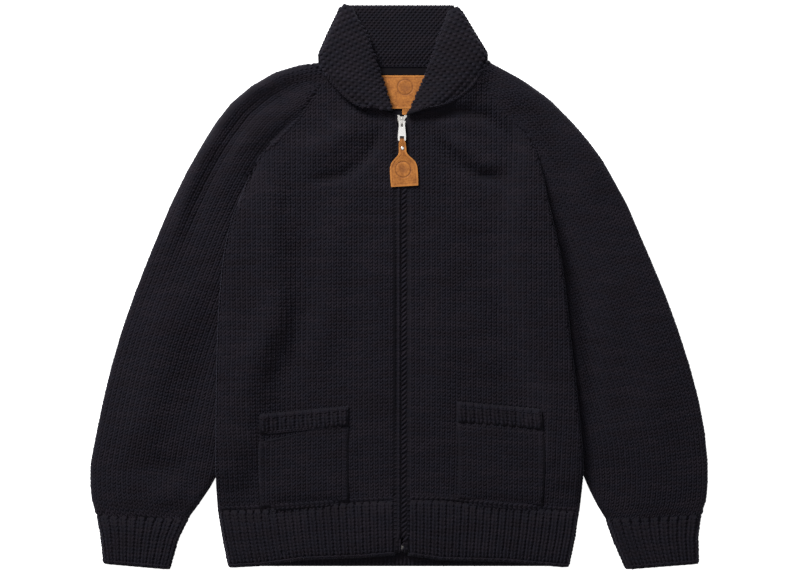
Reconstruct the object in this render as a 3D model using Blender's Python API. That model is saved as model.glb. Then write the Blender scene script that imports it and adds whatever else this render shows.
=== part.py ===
"""A hand-knitted Cowichan cardigan, zipped up and laid flat on its back.

Metres, +Z up.  +Y points to the collar, and the wearer's right is on the -X side.  The tables are
in millimetres.  Every piece of cloth is a wall with an outer and an inner skin, as thick as the
bulky knit really is, and it follows the shape that the flat garment takes: the back lies on the
surface, the fronts lie on the back, each sleeve is a flattened tube beside the body, and the sides
of the body are folded over the sleeves.
"""

import math

import bmesh
import bpy
import numpy as np

# ---------------------------------------------------------------- sizes that drive the rest (mm)
WALL = 5.0  # thickness of the knitted cloth
COLLAR_WALL = 4.5  # garter stitch of the collar
SEAM = 0.3  # parting between two pieces at a seam
BACK_TOP = WALL  # upper face of the back, which lies on the surface
FRONT_TOP = 12.1  # upper face of the fronts and sleeves where nothing lifts them
ZIP_RISE = 1.4  # how far the zip under the bands lifts the fronts
ZIP_SPREAD = 34.0  # how far from the zip that rise reaches
ZIP_X = 4.0  # the zip's line, slightly left of the middle of the laid-out garment
HEM_SEAM_Y = -310.0  # where the hem ribs start
HEM_BACK_Y = -385.0  # lower edge of the back hem
NECK_BACK_Y = 300.0  # seam between back and collar
ARMPIT_Y = 103.0
BACK_TURN_Y = 55.0  # where the edge of the back leaves the side fold for the underarm
ZIP_TOP_Y = 233.0
MIDDLE_Y = -2.0  # middle of the laid-out length, which is the origin
RAMP = 60.0  # width over which the body climbs onto a sleeve
RAMP_AIR = 3.2  # extra air between the fronts and the back halfway up that climb
RAMP_LATE = 5.0  # how much further out the back starts that climb
RAMP_LOFT = 0.10  # share by which the fronts rise more than the back where a sleeve lifts both
FULL_LIFT = 13.7  # how far a whole sleeve underneath raises the body
HEM_RIBS = 22  # knit columns across each front hem, one every 10.6
CUFF_RIBS = 9  # knit columns across the upper side of a cuff
WELT_RIBS = 10  # knit columns across a pocket welt
RIB_RISE = 0.9  # a rib's height above its middle level, and a valley's depth
POCKET_LIFT = 0.8  # parting between a pocket and the front it lies on
POCKET_WALL = 4.2
POCKET_RIM = 0.55  # share of that wall left where the pocket is sewn down
WELT_RISE = 0.5  # how far the welt stands above the pocket


class Table:
    """Rows of sizes with named columns, read between the rows along a smooth curve."""

    def __init__(self, columns, *rows):
        self.columns = columns.split()
        self.rows = np.array(sorted(rows), float)

    def at(self, column, key):
        keys, values = self.rows[:, 0], self.rows[:, self.columns.index(column)]
        key = np.clip(key, keys[0], keys[-1])
        step, rise = np.diff(keys), np.diff(values)
        slope = rise / step
        bend = np.zeros(len(keys))
        for i in range(1, len(keys) - 1):
            if slope[i - 1] * slope[i] > 0:
                bend[i] = 2 * slope[i - 1] * slope[i] / (slope[i - 1] + slope[i])
        bend[0], bend[-1] = slope[0], slope[-1]
        i = np.clip(np.searchsorted(keys, key) - 1, 0, len(step) - 1)
        t = (key - keys[i]) / step[i]
        start, end = bend[i] * step[i], bend[i + 1] * step[i]
        return (
            values[i]
            + start * t
            + (3 * rise[i] - 2 * start - end) * t**2
            + (start + end - 2 * rise[i]) * t**3
        )


def smoothstep(t):
    t = np.clip(t, 0.0, 1.0)
    return t * t * (3 - 2 * t)


# ---------------------------------------------------------------- the outline of the laid-out body
# Outer edge of each front, from the hem up the folded side and on along the raglan seam.  curl is
# 1 where the edge turns down round the side fold and 0 where it is a flat seam, and lift is how far
# the sleeve beneath raises the body there.
FRONT_EDGE = {
    "right": Table(
        "y x curl lift",
        (-310, 248.0, 1.0, 0.0),
        (-285, 249.5, 1.0, 3.5),
        (-253, 250.0, 1.0, 12.0),
        (-225, 249.8, 1.0, 13.7),
        (-130, 249.0, 1.0, 13.7),
        (-48, 246.6, 1.0, 13.7),
        (36, 239.8, 1.0, 13.7),
        (82, 230.5, 1.0, 13.7),
        (110, 221.0, 1.0, 12.4),
        (140, 208.2, 1.0, 9.2),
        (157, 201.5, 0.8, 6.2),
        (175, 192.5, 0.4, 2.6),
        (188, 181.0, 0.1, 0.6),
        (201, 169.5, 0.0, 0.0),
        (222, 148.0, 0.0, 0.0),
        (240, 132.0, 0.0, 0.0),
        (263, 118.0, 0.0, 0.0),
        (290, 96.0, 0.0, 0.0),
    ),
    "left": Table(
        "y x curl lift",
        (-310, 247.0, 1.0, 0.0),
        (-285, 249.5, 1.0, 3.5),
        (-253, 252.0, 1.0, 12.0),
        (-225, 250.5, 1.0, 13.7),
        (-158, 244.0, 1.0, 13.7),
        (-75, 234.5, 1.0, 13.7),
        (27, 223.0, 1.0, 13.7),
        (71, 214.0, 1.0, 13.7),
        (122, 202.8, 1.0, 12.0),
        (158, 195.9, 1.0, 8.6),
        (180, 189.0, 0.8, 5.6),
        (198, 183.5, 0.4, 2.4),
        (212, 176.0, 0.1, 0.6),
        (222, 163.0, 0.0, 0.0),
        (240, 146.0, 0.0, 0.0),
        (263, 127.0, 0.0, 0.0),
        (290, 105.0, 0.0, 0.0),
    ),
}
# Outer edge of the back: the raglan seam down to the armpit, then out to the side fold.
BACK_EDGE = {
    "right": Table(
        "y x curl lift",
        (-310, 248.0, 1.0, 0.0),
        (-285, 249.5, 1.0, 3.5),
        (-253, 250.0, 1.0, 11.6),
        (-225, 249.8, 1.0, 13.7),
        (-130, 249.0, 1.0, 13.7),
        (-48, 246.6, 1.0, 13.7),
        (36, 238.0, 1.0, 13.7),
        (69, 206.0, 0.3, 13.7),
        (103, 187.0, 0.0, 13.7),
        (128, 187.0, 0.0, 6.0),
        (152, 182.0, 0.0, 0.0),
        (174, 173.0, 0.0, 0.0),
        (201, 152.0, 0.0, 0.0),
        (229, 129.0, 0.0, 0.0),
        (264, 104.0, 0.0, 0.0),
        (300, 81.0, 0.0, 0.0),
    ),
    "left": Table(
        "y x curl lift",
        (-310, 247.0, 1.0, 0.0),
        (-285, 249.5, 1.0, 3.5),
        (-253, 252.0, 1.0, 11.6),
        (-225, 250.5, 1.0, 13.7),
        (-158, 244.0, 1.0, 13.7),
        (-75, 234.5, 1.0, 13.7),
        (35, 221.0, 1.0, 13.7),
        (69, 199.0, 0.3, 13.7),
        (103, 183.0, 0.0, 13.7),
        (128, 183.0, 0.0, 6.0),
        (152, 178.0, 0.0, 0.0),
        (174, 170.0, 0.0, 0.0),
        (201, 153.0, 0.0, 0.0),
        (229, 132.0, 0.0, 0.0),
        (264, 109.0, 0.0, 0.0),
        (300, 87.0, 0.0, 0.0),
    ),
}
# Where the sleeve under the body has its inner fold.
SLEEVE_FOLD = {
    "right": Table(
        "y x",
        (-310, 268),
        (-259, 249),
        (-212, 230),
        (-155, 214),
        (-89, 201),
        (-21, 192),
        (48, 188),
        (103, 188),
        (147, 200),
        (201, 170),
    ),
    "left": Table(
        "y x",
        (-310, 270),
        (-259, 253),
        (-212, 233),
        (-155, 215),
        (-89, 201),
        (-21, 189),
        (48, 184),
        (103, 184),
        (158, 190),
        (220, 163),
    ),
}
# Neck edge of each front, hidden under the collar, from the zip outwards.
NECKLINE = {
    "right": Table("y x", (233, 8), (238, 22), (247, 43), (262, 60), (276, 72), (290, 82)),
    "left": Table("y x", (233, 15), (238, 34), (247, 50), (262, 66), (276, 79), (290, 90)),
}
# Lower edge of the front hems, which bows up over the straight back hem, and their upper seam.
HEM_EDGE = Table(
    "x low top",
    (-250, -384, -310),
    (-229, -384, -309),
    (-192, -382, -308),
    (-132, -374, -303),
    (-52, -371, -298),
    (5, -366, -295),
    (60, -374, -296),
    (145, -376, -304),
    (225, -383, -310),
    (250, -383, -311),
)
# The largest folds, as soft ridges and troughs that both skins follow.  bow is how far the middle
# of the fold stands off its chord, spread its half width and rise its height.
FOLDS = Table(
    "x0 y0 x1 y1 bow spread rise",
    (-176, 110, -70, 206, -14, 26, 2.2),  # swell from the right underarm to the collar
    (-168, 62, -40, 168, -26, 18, 2.6),  # outer roll of the smile fold under the collar
    (-135, 132, -22, 222, -30, 13, -1.3),  # its trough
    (150, 92, 44, 188, 26, 18, 2.6),
    (140, 142, 40, 236, 26, 13, -1.3),
    (40, 240, 128, 236, -4, 12, -1.2),
    (-136, -34, -183, -122, 12, 17, -1.3),  # crease that runs down to the right pocket
    (-160, -20, -214, -110, 10, 20, 2.0),
    (-183, -122, -186, -212, 0, 15, -1.3),
    (-100, -60, -150, -150, 12, 22, 1.2),
    (165, -60, 196, -140, -8, 18, -1.2),
    (140, -40, 176, -150, -8, 22, 1.4),
    (-60, -100, -40, -280, 4, 20, 0.9),
    (70, -60, 50, -280, -4, 20, 0.9),
    (196, -160, 205, -290, 4, 15, 1.1),
    (-205, -230, -214, -300, 4, 15, 1.1),
)
# Folds of the sleeves: the rolled shoulder with the valley inside it, and the soft bends below.
SLEEVE_FOLDS = {
    "right": Table(
        "x0 y0 x1 y1 bow spread rise",
        (-112, 299, -262, 178, 27, 11, 3.0),
        (-96, 284, -236, 176, 25, 10, -2.2),
        (-122, 262, -216, 172, 18, 19, 2.4),
        (-262, 178, -330, 40, 8, 18, 1.4),
        (-232, 96, -300, -60, 10, 26, 1.6),
        (-262, 90, -330, -90, 10, 15, -1.0),
        (-330, -60, -372, -210, 8, 30, 1.8),
        (-262, -110, -300, -230, 6, 18, 1.4),
        (-300, -90, -330, -230, 6, 14, -1.0),
        (-290, -280, -350, -250, -8, 14, -1.0),
        (-330, -300, -395, -262, -10, 16, 1.6),
    ),
    "left": Table(
        "x0 y0 x1 y1 bow spread rise",
        (124, 298, 258, 186, -24, 12, 2.0),
        (112, 282, 222, 196, -18, 12, -1.4),
        (140, 262, 214, 190, -14, 18, 1.8),
        (262, 178, 330, 40, -8, 18, 1.4),
        (226, 110, 290, -60, -10, 26, 1.8),
        (258, 90, 326, -90, -10, 15, -1.0),
        (330, -60, 374, -210, -8, 30, 1.8),
        (262, -110, 300, -230, -6, 18, 1.4),
        (300, -90, 332, -230, -6, 14, -1.0),
        (290, -276, 350, -250, 8, 14, -1.0),
        (330, -300, 398, -262, 10, 16, 1.6),
    ),
}
# Stations down each sleeve.  outer is the folded outline; seam is the edge of the upper layer, on
# the front raglan and then under the body; under is the edge of the lower layer.  close is 1 where
# both edges turn in to the underarm seam.
STATIONS = "row outer_x outer_y seam_x seam_y under_x under_y close height puff"
SLEEVE = {
    "right": Table(
        STATIONS,
        (0, -112, 307, -96.5, 290, -84, 298, 0, 12.1, 0.0),
        (1, -153, 300, -118.5, 263, -105, 264, 0, 12.1, 0.4),
        (2, -203, 275, -138, 233, -131, 228, 0, 12.1, 1.0),
        (3, -240, 242, -164, 207.5, -154, 200, 0, 12.1, 1.4),
        (4, -267, 201, -187, 182, -175, 173, 0, 12.2, 1.6),
        (5, -292, 158, -205.5, 149, -187, 141, 0.3, 12.2, 1.6),
        (6, -315, 111, -188, 103, -188, 103, 1, 12.4, 1.8),
        (7, -338, 56, -188, 48, -188, 48, 1, 12.4, 2.0),
        (8, -362, -4, -192, -21, -192, -21, 1, 12.4, 2.0),
        (9, -385, -70, -201, -89, -201, -89, 1, 12.4, 2.2),
        (10, -403, -136, -214, -155, -214, -155, 1, 12.4, 2.4),
        (11, -416, -196, -230, -212, -230, -212, 1, 12.4, 2.8),
        (12, -426, -253, -249, -259, -249, -259, 1, 12.8, 3.2),
        (13, -425, -288, -269, -292, -269, -292, 1, 13.2, 2.6),
        (14, -416, -315, -290, -321, -290, -321, 1, 12.4, 0.6),
    ),
    "left": Table(
        STATIONS,
        (0, 123, 308, 105.5, 290, 91, 298, 0, 12.1, 0.0),
        (1, 152, 293, 127.5, 263, 110, 264, 0, 12.1, 0.4),
        (2, 195, 267, 146.5, 240, 133, 229, 0, 12.1, 1.0),
        (3, 230, 234, 168, 220, 154, 201, 0, 12.1, 1.4),
        (4, 258, 203, 184.5, 198, 171, 174, 0, 12.2, 1.6),
        (5, 285, 166, 193, 170, 181.5, 141, 0.3, 12.2, 1.6),
        (6, 315, 111, 184, 103, 184, 103, 1, 12.4, 1.8),
        (7, 338, 56, 184, 48, 184, 48, 1, 12.4, 2.0),
        (8, 364, -4, 189, -21, 189, -21, 1, 12.4, 2.0),
        (9, 388, -70, 201, -89, 201, -89, 1, 12.4, 2.2),
        (10, 408, -136, 215, -155, 215, -155, 1, 12.4, 2.4),
        (11, 421, -196, 233, -212, 233, -212, 1, 12.4, 2.8),
        (12, 426, -253, 253, -259, 253, -259, 1, 12.8, 3.2),
        (13, 425, -288, 267, -292, 267, -292, 1, 13.2, 2.6),
        (14, 416, -315, 284, -321, 284, -321, 1, 12.4, 0.6),
    ),
}
CUFF = {
    "right": Table(
        "row outer_x outer_y seam_x seam_y height",
        (0, -415.7, -315.4, -290.2, -321.4, 12.4),
        (1, -410.0, -345, -303, -349, 12.4),
        (2, -406.0, -381, -314, -389, 12.2),
    ),
    "left": Table(
        "row outer_x outer_y seam_x seam_y height",
        (0, 415.7, -315.4, 284.2, -321.4, 12.4),
        (1, 411.0, -345, 294, -350, 12.4),
        (2, 412.0, -381, 311, -389, 12.2),
    ),
}
# Stations down each collar flap, from the top of the collar to the zip.  crease is the fold between
# stand and fall, edge the outline; seam is the stand's share of that width; stand is the height of
# the stand's lower face at the crease; crown is the fall's upper face at its highest; roll is the
# radius of the turned-down outline, which ends where the flap's free edge begins.
FLAP = "row crease_x crease_y edge_x edge_y seam stand crown roll turn"
COLLAR_FLAP = {
    "right": Table(
        FLAP,
        (0, -62, 384, -81, 383, 0.50, 10.8, 20.0, 7.5, 1.0),
        (1, -59, 371, -86, 371, 0.55, 10.8, 21.4, 9.0, 1.0),
        (2, -51, 358, -95, 353, 0.62, 10.8, 22.0, 10.2, 1.0),
        (3, -42, 344, -104, 333, 0.66, 10.8, 22.4, 10.6, 1.0),
        (4, -34, 322, -112, 311, 0.68, 10.8, 22.6, 10.8, 1.0),
        (5, -29, 306, -106, 293, 0.68, 10.8, 22.6, 7.0, 0.3),
        (6, -21, 284, -89, 274, 0.68, 8.2, 22.4, 4.0, 0.0),
        (7, -14, 261, -70, 254, 0.68, 8.2, 22.2, 4.0, 0.0),
        (8, -10, 248, -53, 244, 0.66, 10.0, 22.0, 4.0, 0.0),
        (9, -8, 239.5, -34, 240, 0.60, 13.7, 22.6, 4.0, 0.0),
    ),
    "left": Table(
        FLAP,
        (0, 67, 380, 84, 380, 0.50, 10.8, 20.0, 7.5, 1.0),
        (1, 64, 366, 93, 366, 0.55, 10.8, 21.4, 9.0, 1.0),
        (2, 57, 352, 103, 349, 0.62, 10.8, 22.0, 10.2, 1.0),
        (3, 50, 333, 114, 331, 0.66, 10.8, 22.4, 10.6, 1.0),
        (4, 43, 311, 123, 313, 0.68, 10.8, 22.6, 10.8, 1.0),
        (5, 37, 295, 117, 296, 0.68, 10.8, 22.6, 7.0, 0.3),
        (6, 29, 275, 102, 273, 0.68, 8.2, 22.4, 4.0, 0.0),
        (7, 20.5, 257, 81, 256, 0.68, 8.2, 22.2, 4.0, 0.0),
        (8, 15, 243, 56, 245, 0.66, 10.0, 22.0, 4.0, 0.0),
        (9, 10, 234.5, 34, 239.5, 0.60, 13.7, 22.6, 4.0, 0.0),
    ),
}
# Pocket corners on each front.
POCKET = {
    "right": {"inner": 71, "outer": 189, "low": -298, "welt": 24, "top_inner": -167, "top_outer": -178},
    "left": {"inner": 83, "outer": 198, "low": -296, "welt": 25, "top_inner": -161, "top_outer": -171},
}
SIDE = {"right": -1.0, "left": 1.0}

YARN = ("yarn", (0.018, 0.017, 0.024, 1.0), 0.92, 0.0)
LEATHER = ("tan_leather", (0.52, 0.24, 0.07, 1.0), 0.55, 0.0)
NICKEL = ("nickel", (0.78, 0.78, 0.76, 1.0), 0.25, 1.0)
TAPE = ("woven_tape", (0.010, 0.010, 0.013, 1.0), 0.85, 0.0)


# ---------------------------------------------------------------- making solids
def material(finish):
    name, colour, roughness, metallic = finish
    made = bpy.data.materials.get(name)
    if made is None:
        made = bpy.data.materials.new(name)
        made.use_nodes = True
        made.diffuse_color = colour
        shader = made.node_tree.nodes["Principled BSDF"]
        shader.inputs["Base Color"].default_value = colour
        shader.inputs["Roughness"].default_value = roughness
        shader.inputs["Metallic"].default_value = metallic
    return made


def placed(x, y, z):
    """A place in metres from the origin, from the millimetres of the tables."""
    return 0.001 * x, 0.001 * (y - MIDDLE_Y), 0.001 * z


def solid(name, points, faces, finish):
    """One named object from points in millimetres and faces that close round a body."""
    mesh = bpy.data.meshes.new(name)
    mesh.from_pydata([placed(*p) for p in points], [], faces)
    work = bmesh.new()
    work.from_mesh(mesh)
    bmesh.ops.recalc_face_normals(work, faces=work.faces)
    if work.calc_volume(signed=True) < 0:
        bmesh.ops.reverse_faces(work, faces=work.faces)
    work.to_mesh(mesh)
    work.free()
    mesh.shade_smooth()
    mesh.set_sharp_from_angle(angle=math.radians(40))
    mesh.materials.append(material(finish))
    made = bpy.data.objects.new(name, mesh)
    bpy.context.scene.collection.objects.link(made)
    return made


def wall(name, outer, inner, finish=YARN):
    """A wall of cloth between two grids of points, closed round its four edges."""
    rows, columns = outer.shape[:2]
    count = rows * columns
    points = np.concatenate([outer.reshape(-1, 3), inner.reshape(-1, 3)])
    faces = []
    for i in range(rows - 1):
        for j in range(columns - 1):
            a, b = i * columns + j, i * columns + j + 1
            c, d = a + columns, b + columns
            faces += [(a, b, d), (a, d, c)]
            faces += [(count + a, count + d, count + b), (count + a, count + c, count + d)]
    border = list(range(columns))
    border += [i * columns + columns - 1 for i in range(1, rows)]
    border += [(rows - 1) * columns + j for j in range(columns - 2, -1, -1)]
    border += [i * columns for i in range(rows - 2, 0, -1)]
    for k, start in enumerate(border):
        end = border[(k + 1) % len(border)]
        faces += [(start, count + start, count + end), (start, count + end, end)]
    return solid(name, points, faces, finish)


def curled(reach, radius, turn, share):
    """A point on an edge that turns down: its distance in from the edge, its drop, and its lean.

    share runs from 0, where the turn starts, to 1 at the edge.  A turn of 1 is a quarter circle.
    """
    lean = 0.5 * math.pi * turn
    if lean < 0.03:
        return reach * (1 - share), 0.0, 0.0
    bend = radius / turn
    angle = lean * share
    return bend * (math.sin(lean) - math.sin(angle)), bend * (1 - math.cos(angle)), angle


def turn_reach(radius, turn, width):
    """How far in from the edge a turn starts, seen from above."""
    lean = 0.5 * math.pi * turn
    if lean < 0.03:
        return min(radius * 0.5 * math.pi, 0.4 * width)
    return radius / turn * math.sin(lean)


def fold_height(folds, x, y):
    """Height that the soft folds add at a place."""
    total = 0.0
    for x0, y0, x1, y1, bow, spread, rise in folds.rows:
        across, along = x1 - x0, y1 - y0
        length = math.hypot(across, along)
        nearest = 1e9
        for k in range(13):
            t = k / 12
            stand = 4 * bow * t * (1 - t)
            px = x0 + across * t - along / length * stand
            py = y0 + along * t + across / length * stand
            nearest = min(nearest, math.hypot(x - px, y - py))
        total += rise * math.exp(-((nearest / spread) ** 2))
    return total


def climb_share(side, x, y, late=0.0):
    """How much of the climb onto the sleeve is done at a place, from 0 to 1.

    The back starts its climb a little late, so that air stays between it and the front.
    """
    fold = SLEEVE_FOLD[side].at("x", y)
    return smoothstep((abs(x) - (fold - RAMP + late)) / (RAMP - 8 - late))


def back_lift(side, x, y):
    return BACK_EDGE[side].at("lift", y) * climb_share(side, x, y, RAMP_LATE)


def front_height(side, x, y):
    """Upper face of a front, before ribs: the layers beneath, the zip's rise and the folds."""
    rise = ZIP_RISE * math.exp(-(((x - ZIP_X) / ZIP_SPREAD) ** 2))
    edge = FRONT_EDGE[side].at("x", y)
    calm = smoothstep((edge - abs(x)) / 16) * smoothstep((y + 312) / 20)
    calm *= smoothstep((abs(x - ZIP_X) - 14) / 18)
    share = climb_share(side, x, y)
    lift = FRONT_EDGE[side].at("lift", y) * share
    lift += (RAMP_LOFT + RAMP_AIR / FULL_LIFT * 4 * share * (1 - share)) * lift
    return FRONT_TOP + lift + rise + calm * fold_height(FOLDS, x, y)


# ---------------------------------------------------------------- body
FRONT_COLUMNS = 13
FRONT_ROWS_BODY = 19
FRONT_ROWS_YOKE = 6
EDGE_STEPS = 3


def body_rows():
    low = np.linspace(0, 1, FRONT_ROWS_BODY)
    rows = [HEM_SEAM_Y + SEAM + t * (175 - HEM_SEAM_Y - SEAM) for t in low]
    return rows + [175 + (290 - 175) * (k + 1) / FRONT_ROWS_YOKE for k in range(FRONT_ROWS_YOKE)]


def band_gap(y):
    """Half the opening between the bands: closed, but parted round the slider and bottom stop."""
    top = 7.2 * smoothstep((y - 206) / 12)
    low = 2.4 * smoothstep((-344 - y) / 6)
    return SEAM / 2 + max(top, low)


BAND_OUTER = {"right": -7.3, "left": 14.3}


def front_inner_x(side, y):
    """Inner edge of a front: along its band, and above the zip along the neck."""
    along_band = abs(BAND_OUTER[side]) + SEAM
    if y <= ZIP_TOP_Y:
        return along_band
    return max(along_band, NECKLINE[side].at("x", y))


def hem_top(x, y):
    """Moves the lowest rows of a front to the bowed seam of its hem ribs."""
    share = smoothstep((HEM_SEAM_Y + 110 - y) / 110)
    return y + share * (HEM_EDGE.at("top", x) + SEAM - HEM_SEAM_Y)


def front(side):
    sign = SIDE[side]
    outer, inner = [], []
    for y in body_rows():
        edge, turn = FRONT_EDGE[side].at("x", y), FRONT_EDGE[side].at("curl", y)
        start = front_inner_x(side, y)
        radius = (FRONT_TOP - SEAM) / 2
        reach = turn_reach(radius, turn, edge - start)
        outer_row, inner_row = [], []
        for k in range(FRONT_COLUMNS):
            x = sign * (start + (edge - reach - start) * k / (FRONT_COLUMNS - 1))
            z = front_height(side, x, y)
            outer_row.append((x, hem_top(x, y), z))
            inner_row.append((x, hem_top(x, y), z - WALL))
        top = outer_row[-1][2]
        for k in range(1, EDGE_STEPS + 1):
            back_off, drop, lean = curled(reach, radius, turn, k / EDGE_STEPS)
            x = edge - back_off
            at_y = hem_top(sign * edge, y)
            outer_row.append((sign * x, at_y, top - drop))
            x -= WALL * math.sin(lean)
            inner_row.append((sign * x, at_y, top - drop - WALL * math.cos(lean)))
        outer.append(outer_row)
        inner.append(inner_row)
    return np.array(outer), np.array(inner)


def back():
    columns = 17
    rows = list(np.linspace(HEM_SEAM_Y + SEAM, ARMPIT_Y, 14))
    rows += list(np.linspace(ARMPIT_Y, NECK_BACK_Y, 9))[1:]
    rows = sorted(rows + [BACK_TURN_Y])
    outer, inner = [], []
    for y in rows:
        ends = {}
        for side, sign in SIDE.items():
            edge, turn = BACK_EDGE[side].at("x", y), BACK_EDGE[side].at("curl", y)
            radius = (FRONT_TOP - SEAM) / 2
            reach = turn_reach(radius, turn, edge)
            outer_end, inner_end = [], []
            for k in range(1, EDGE_STEPS + 1):
                back_off, climb, lean = curled(reach, radius, turn, k / EDGE_STEPS)
                x = edge - back_off
                z = back_lift(side, edge - reach, y) + climb
                outer_end.append((sign * x, y, z))
                inner_end.append(
                    (sign * (x - WALL * math.sin(lean)), y, z + WALL * math.cos(lean))
                )
            ends[side] = (sign * (edge - reach), outer_end, inner_end)
        first, last = ends["right"][0], ends["left"][0]
        outer_row, inner_row = list(reversed(ends["right"][1])), list(reversed(ends["right"][2]))
        for k in range(columns):
            share = k / (columns - 1)
            share -= 0.11 * math.sin(2 * math.pi * share)
            x = first + (last - first) * share
            side = "right" if x < 0 else "left"
            z = back_lift(side, x, y)
            outer_row.append((x, y, z))
            inner_row.append((x, y, z + BACK_TOP))
        outer.append(outer_row + ends["left"][1])
        inner.append(inner_row + ends["left"][2])
    return wall("back", np.array(outer), np.array(inner))


def band(side):
    """The knitted edging that the zip is sewn behind, a narrow wall with a raised rib."""
    sign = SIDE[side]
    outer, inner = [], []
    low = HEM_EDGE.at("low", ZIP_X)
    rows = [low + 0.5, low + 8, low + 16, low + 22, *np.linspace(-325, 200, 12)]
    for y in rows + [208, 213, 218, 225, ZIP_TOP_Y]:
        zip_edge = ZIP_X + sign * band_gap(y)
        far_edge = BAND_OUTER[side]
        outer_row, inner_row = [], []
        for share, rise in ((0.0, -1.0), (0.3, 0.5), (0.7, 0.5), (1.0, -1.0)):
            x = zip_edge + (far_edge - zip_edge) * share
            z = FRONT_TOP + ZIP_RISE
            outer_row.append((x, y, z + rise))
            inner_row.append((x, y, z - WALL))
        outer.append(outer_row)
        inner.append(inner_row)
    return wall(f"band_{side}", np.array(outer), np.array(inner))


def rib_places(length, count):
    """Distances where a ribbed wall has its points: one in each valley and two on each ridge."""
    step = length / count
    places = []
    for k in range(count):
        places += [(k * step, -1.0), ((k + 0.36) * step, 1.0), ((k + 0.64) * step, 1.0)]
    return places + [(length, -1.0)]


# Share of the way down the hem, and how far the side fold has drawn in there.
HEM_STEPS = ((0.0, 0.0), (0.5, 6.0), (1.0, 14.0))


def hem_front(side):
    """Ribbed hem of one front, from its band to the side fold."""
    sign = SIDE[side]
    start = abs(BAND_OUTER[side]) + SEAM
    edge = FRONT_EDGE[side].at("x", HEM_SEAM_Y)
    radius = (FRONT_TOP - SEAM) / 2
    outer, inner = [], []
    for t, slip in HEM_STEPS:
        outer_row, inner_row = [], []
        for distance, crest in rib_places(edge - radius - start, HEM_RIBS):
            x = sign * (start + distance * (1 - slip / edge))
            y = HEM_EDGE.at("top", x) * (1 - t) + HEM_EDGE.at("low", x) * t
            rise = ZIP_RISE * math.exp(-(((x - ZIP_X) / ZIP_SPREAD) ** 2))
            z = FRONT_TOP + rise
            outer_row.append((x, y, z + crest * RIB_RISE))
            inner_row.append((x, y, z - WALL))
        x_top, y, z = outer_row[-1][0], outer_row[-1][1], FRONT_TOP
        for k in range(1, EDGE_STEPS + 1):
            back_off, drop, lean = curled(radius, radius, 1.0, k / EDGE_STEPS)
            x = abs(x_top) + radius - back_off
            outer_row.append((sign * x, y, z - drop))
            x -= WALL * math.sin(lean)
            inner_row.append((sign * x, y, z - drop - WALL * math.cos(lean)))
        outer.append(outer_row)
        inner.append(inner_row)
    return wall(f"hem_{side}", np.array(outer), np.array(inner))


def hem_back():
    """Hem of the back, flat where it rests and turned up at both side folds."""
    radius = (FRONT_TOP - SEAM) / 2
    outer, inner = [], []
    for t, slip in HEM_STEPS:
        y = HEM_SEAM_Y - SEAM / 2 + (HEM_BACK_Y - HEM_SEAM_Y) * t
        low, high = {}, {}
        for side, sign in SIDE.items():
            edge = FRONT_EDGE[side].at("x", HEM_SEAM_Y) - slip
            low[side], high[side] = [], []
            for k in range(EDGE_STEPS + 1):
                back_off, climb, lean = curled(radius, radius, 1.0, k / EDGE_STEPS)
                x = edge - back_off
                low[side].append((sign * x, y, climb))
                x -= WALL * math.sin(lean)
                high[side].append((sign * x, y, climb + WALL * math.cos(lean)))
        left, right = low["right"][0][0], low["left"][0][0]
        across = [left + (right - left) * k / 12 for k in range(1, 12)]
        low_row = list(reversed(low["right"])) + [(x, y, 0.0) for x in across] + low["left"]
        high_row = list(reversed(high["right"])) + [(x, y, WALL) for x in across] + high["left"]
        outer.append(low_row)
        inner.append(high_row)
    return wall("hem_back", np.array(outer), np.array(inner))


# ---------------------------------------------------------------- sleeves and cuffs
SLEEVE_STEP = 0.75  # rows of the table between two stations below the raglan
SLEEVE_TOP = 9  # points across the upper layer
SLEEVE_UNDER = 3  # points across the lower layer
SLEEVE_TURN = 2  # steps round the underarm edges
FOLD_STEPS = 4  # steps round the outer fold


def tube_section(outer, seam, under, close, height, profile, wall_size=WALL):
    """One section of a flattened tube that is open at its underarm seam.

    It runs from the seam edge of the upper layer, out to the folded outline and back underneath.
    profile gives the upper face's extra height from the share of the way out and the place.
    """
    outer, seam, under = (np.array(p, float) for p in (outer, seam, under))
    radius, half = (height - SEAM) / 2, height / 2
    top, fold, lower = [], [], []
    for layer, inner_edge in ((top, seam), (lower, under)):
        span = outer - inner_edge
        width = math.hypot(*span)
        out = span / width
        reach = turn_reach(radius, close, width)
        section = []
        for k in range(SLEEVE_TURN):
            back_off, drop, lean = curled(reach, radius, close, 1 - k / SLEEVE_TURN)
            section.append((back_off, drop, -math.sin(lean), math.cos(lean)))
        steps = SLEEVE_TOP if layer is top else SLEEVE_UNDER
        for k in range(steps):
            section.append((reach + (width - half - reach) * k / (steps - 1), 0.0, 0.0, 1.0))
        for away, drop, lean_out, lean_up in section:
            place = inner_edge + out * away
            if layer is top:
                z = height + profile(1 - max(away, reach) / width, place) - drop
            else:
                z, lean_up = drop, -lean_up
            face = np.array([place[0], place[1], z])
            normal = np.array([out[0] * lean_out, out[1] * lean_out, lean_up])
            layer.append((face, face - wall_size * normal))
        if layer is top:
            for k in range(1, FOLD_STEPS):
                angle = math.pi * (0.5 - k / FOLD_STEPS)
                place = inner_edge + out * (width - half + half * math.cos(angle))
                face = np.array([place[0], place[1], half + half * math.sin(angle)])
                normal = np.array([out[0] * math.cos(angle), out[1] * math.cos(angle), math.sin(angle)])
                fold.append((face, face - wall_size * normal))
    ordered = top + fold + lower[::-1]
    return [pair[0] for pair in ordered], [pair[1] for pair in ordered]


def raglan_rows(side):
    """Rows of the sleeve's table where its seam meets the front's own points."""
    line = np.linspace(0, 5, 101)
    heights = SLEEVE[side].at("seam_y", line)
    rows = []
    for y in sorted(body_rows(), reverse=True):
        if y > heights[-1] - 1:
            rows.append((float(np.interp(-y, -heights, line)), y))
    return rows


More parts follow.
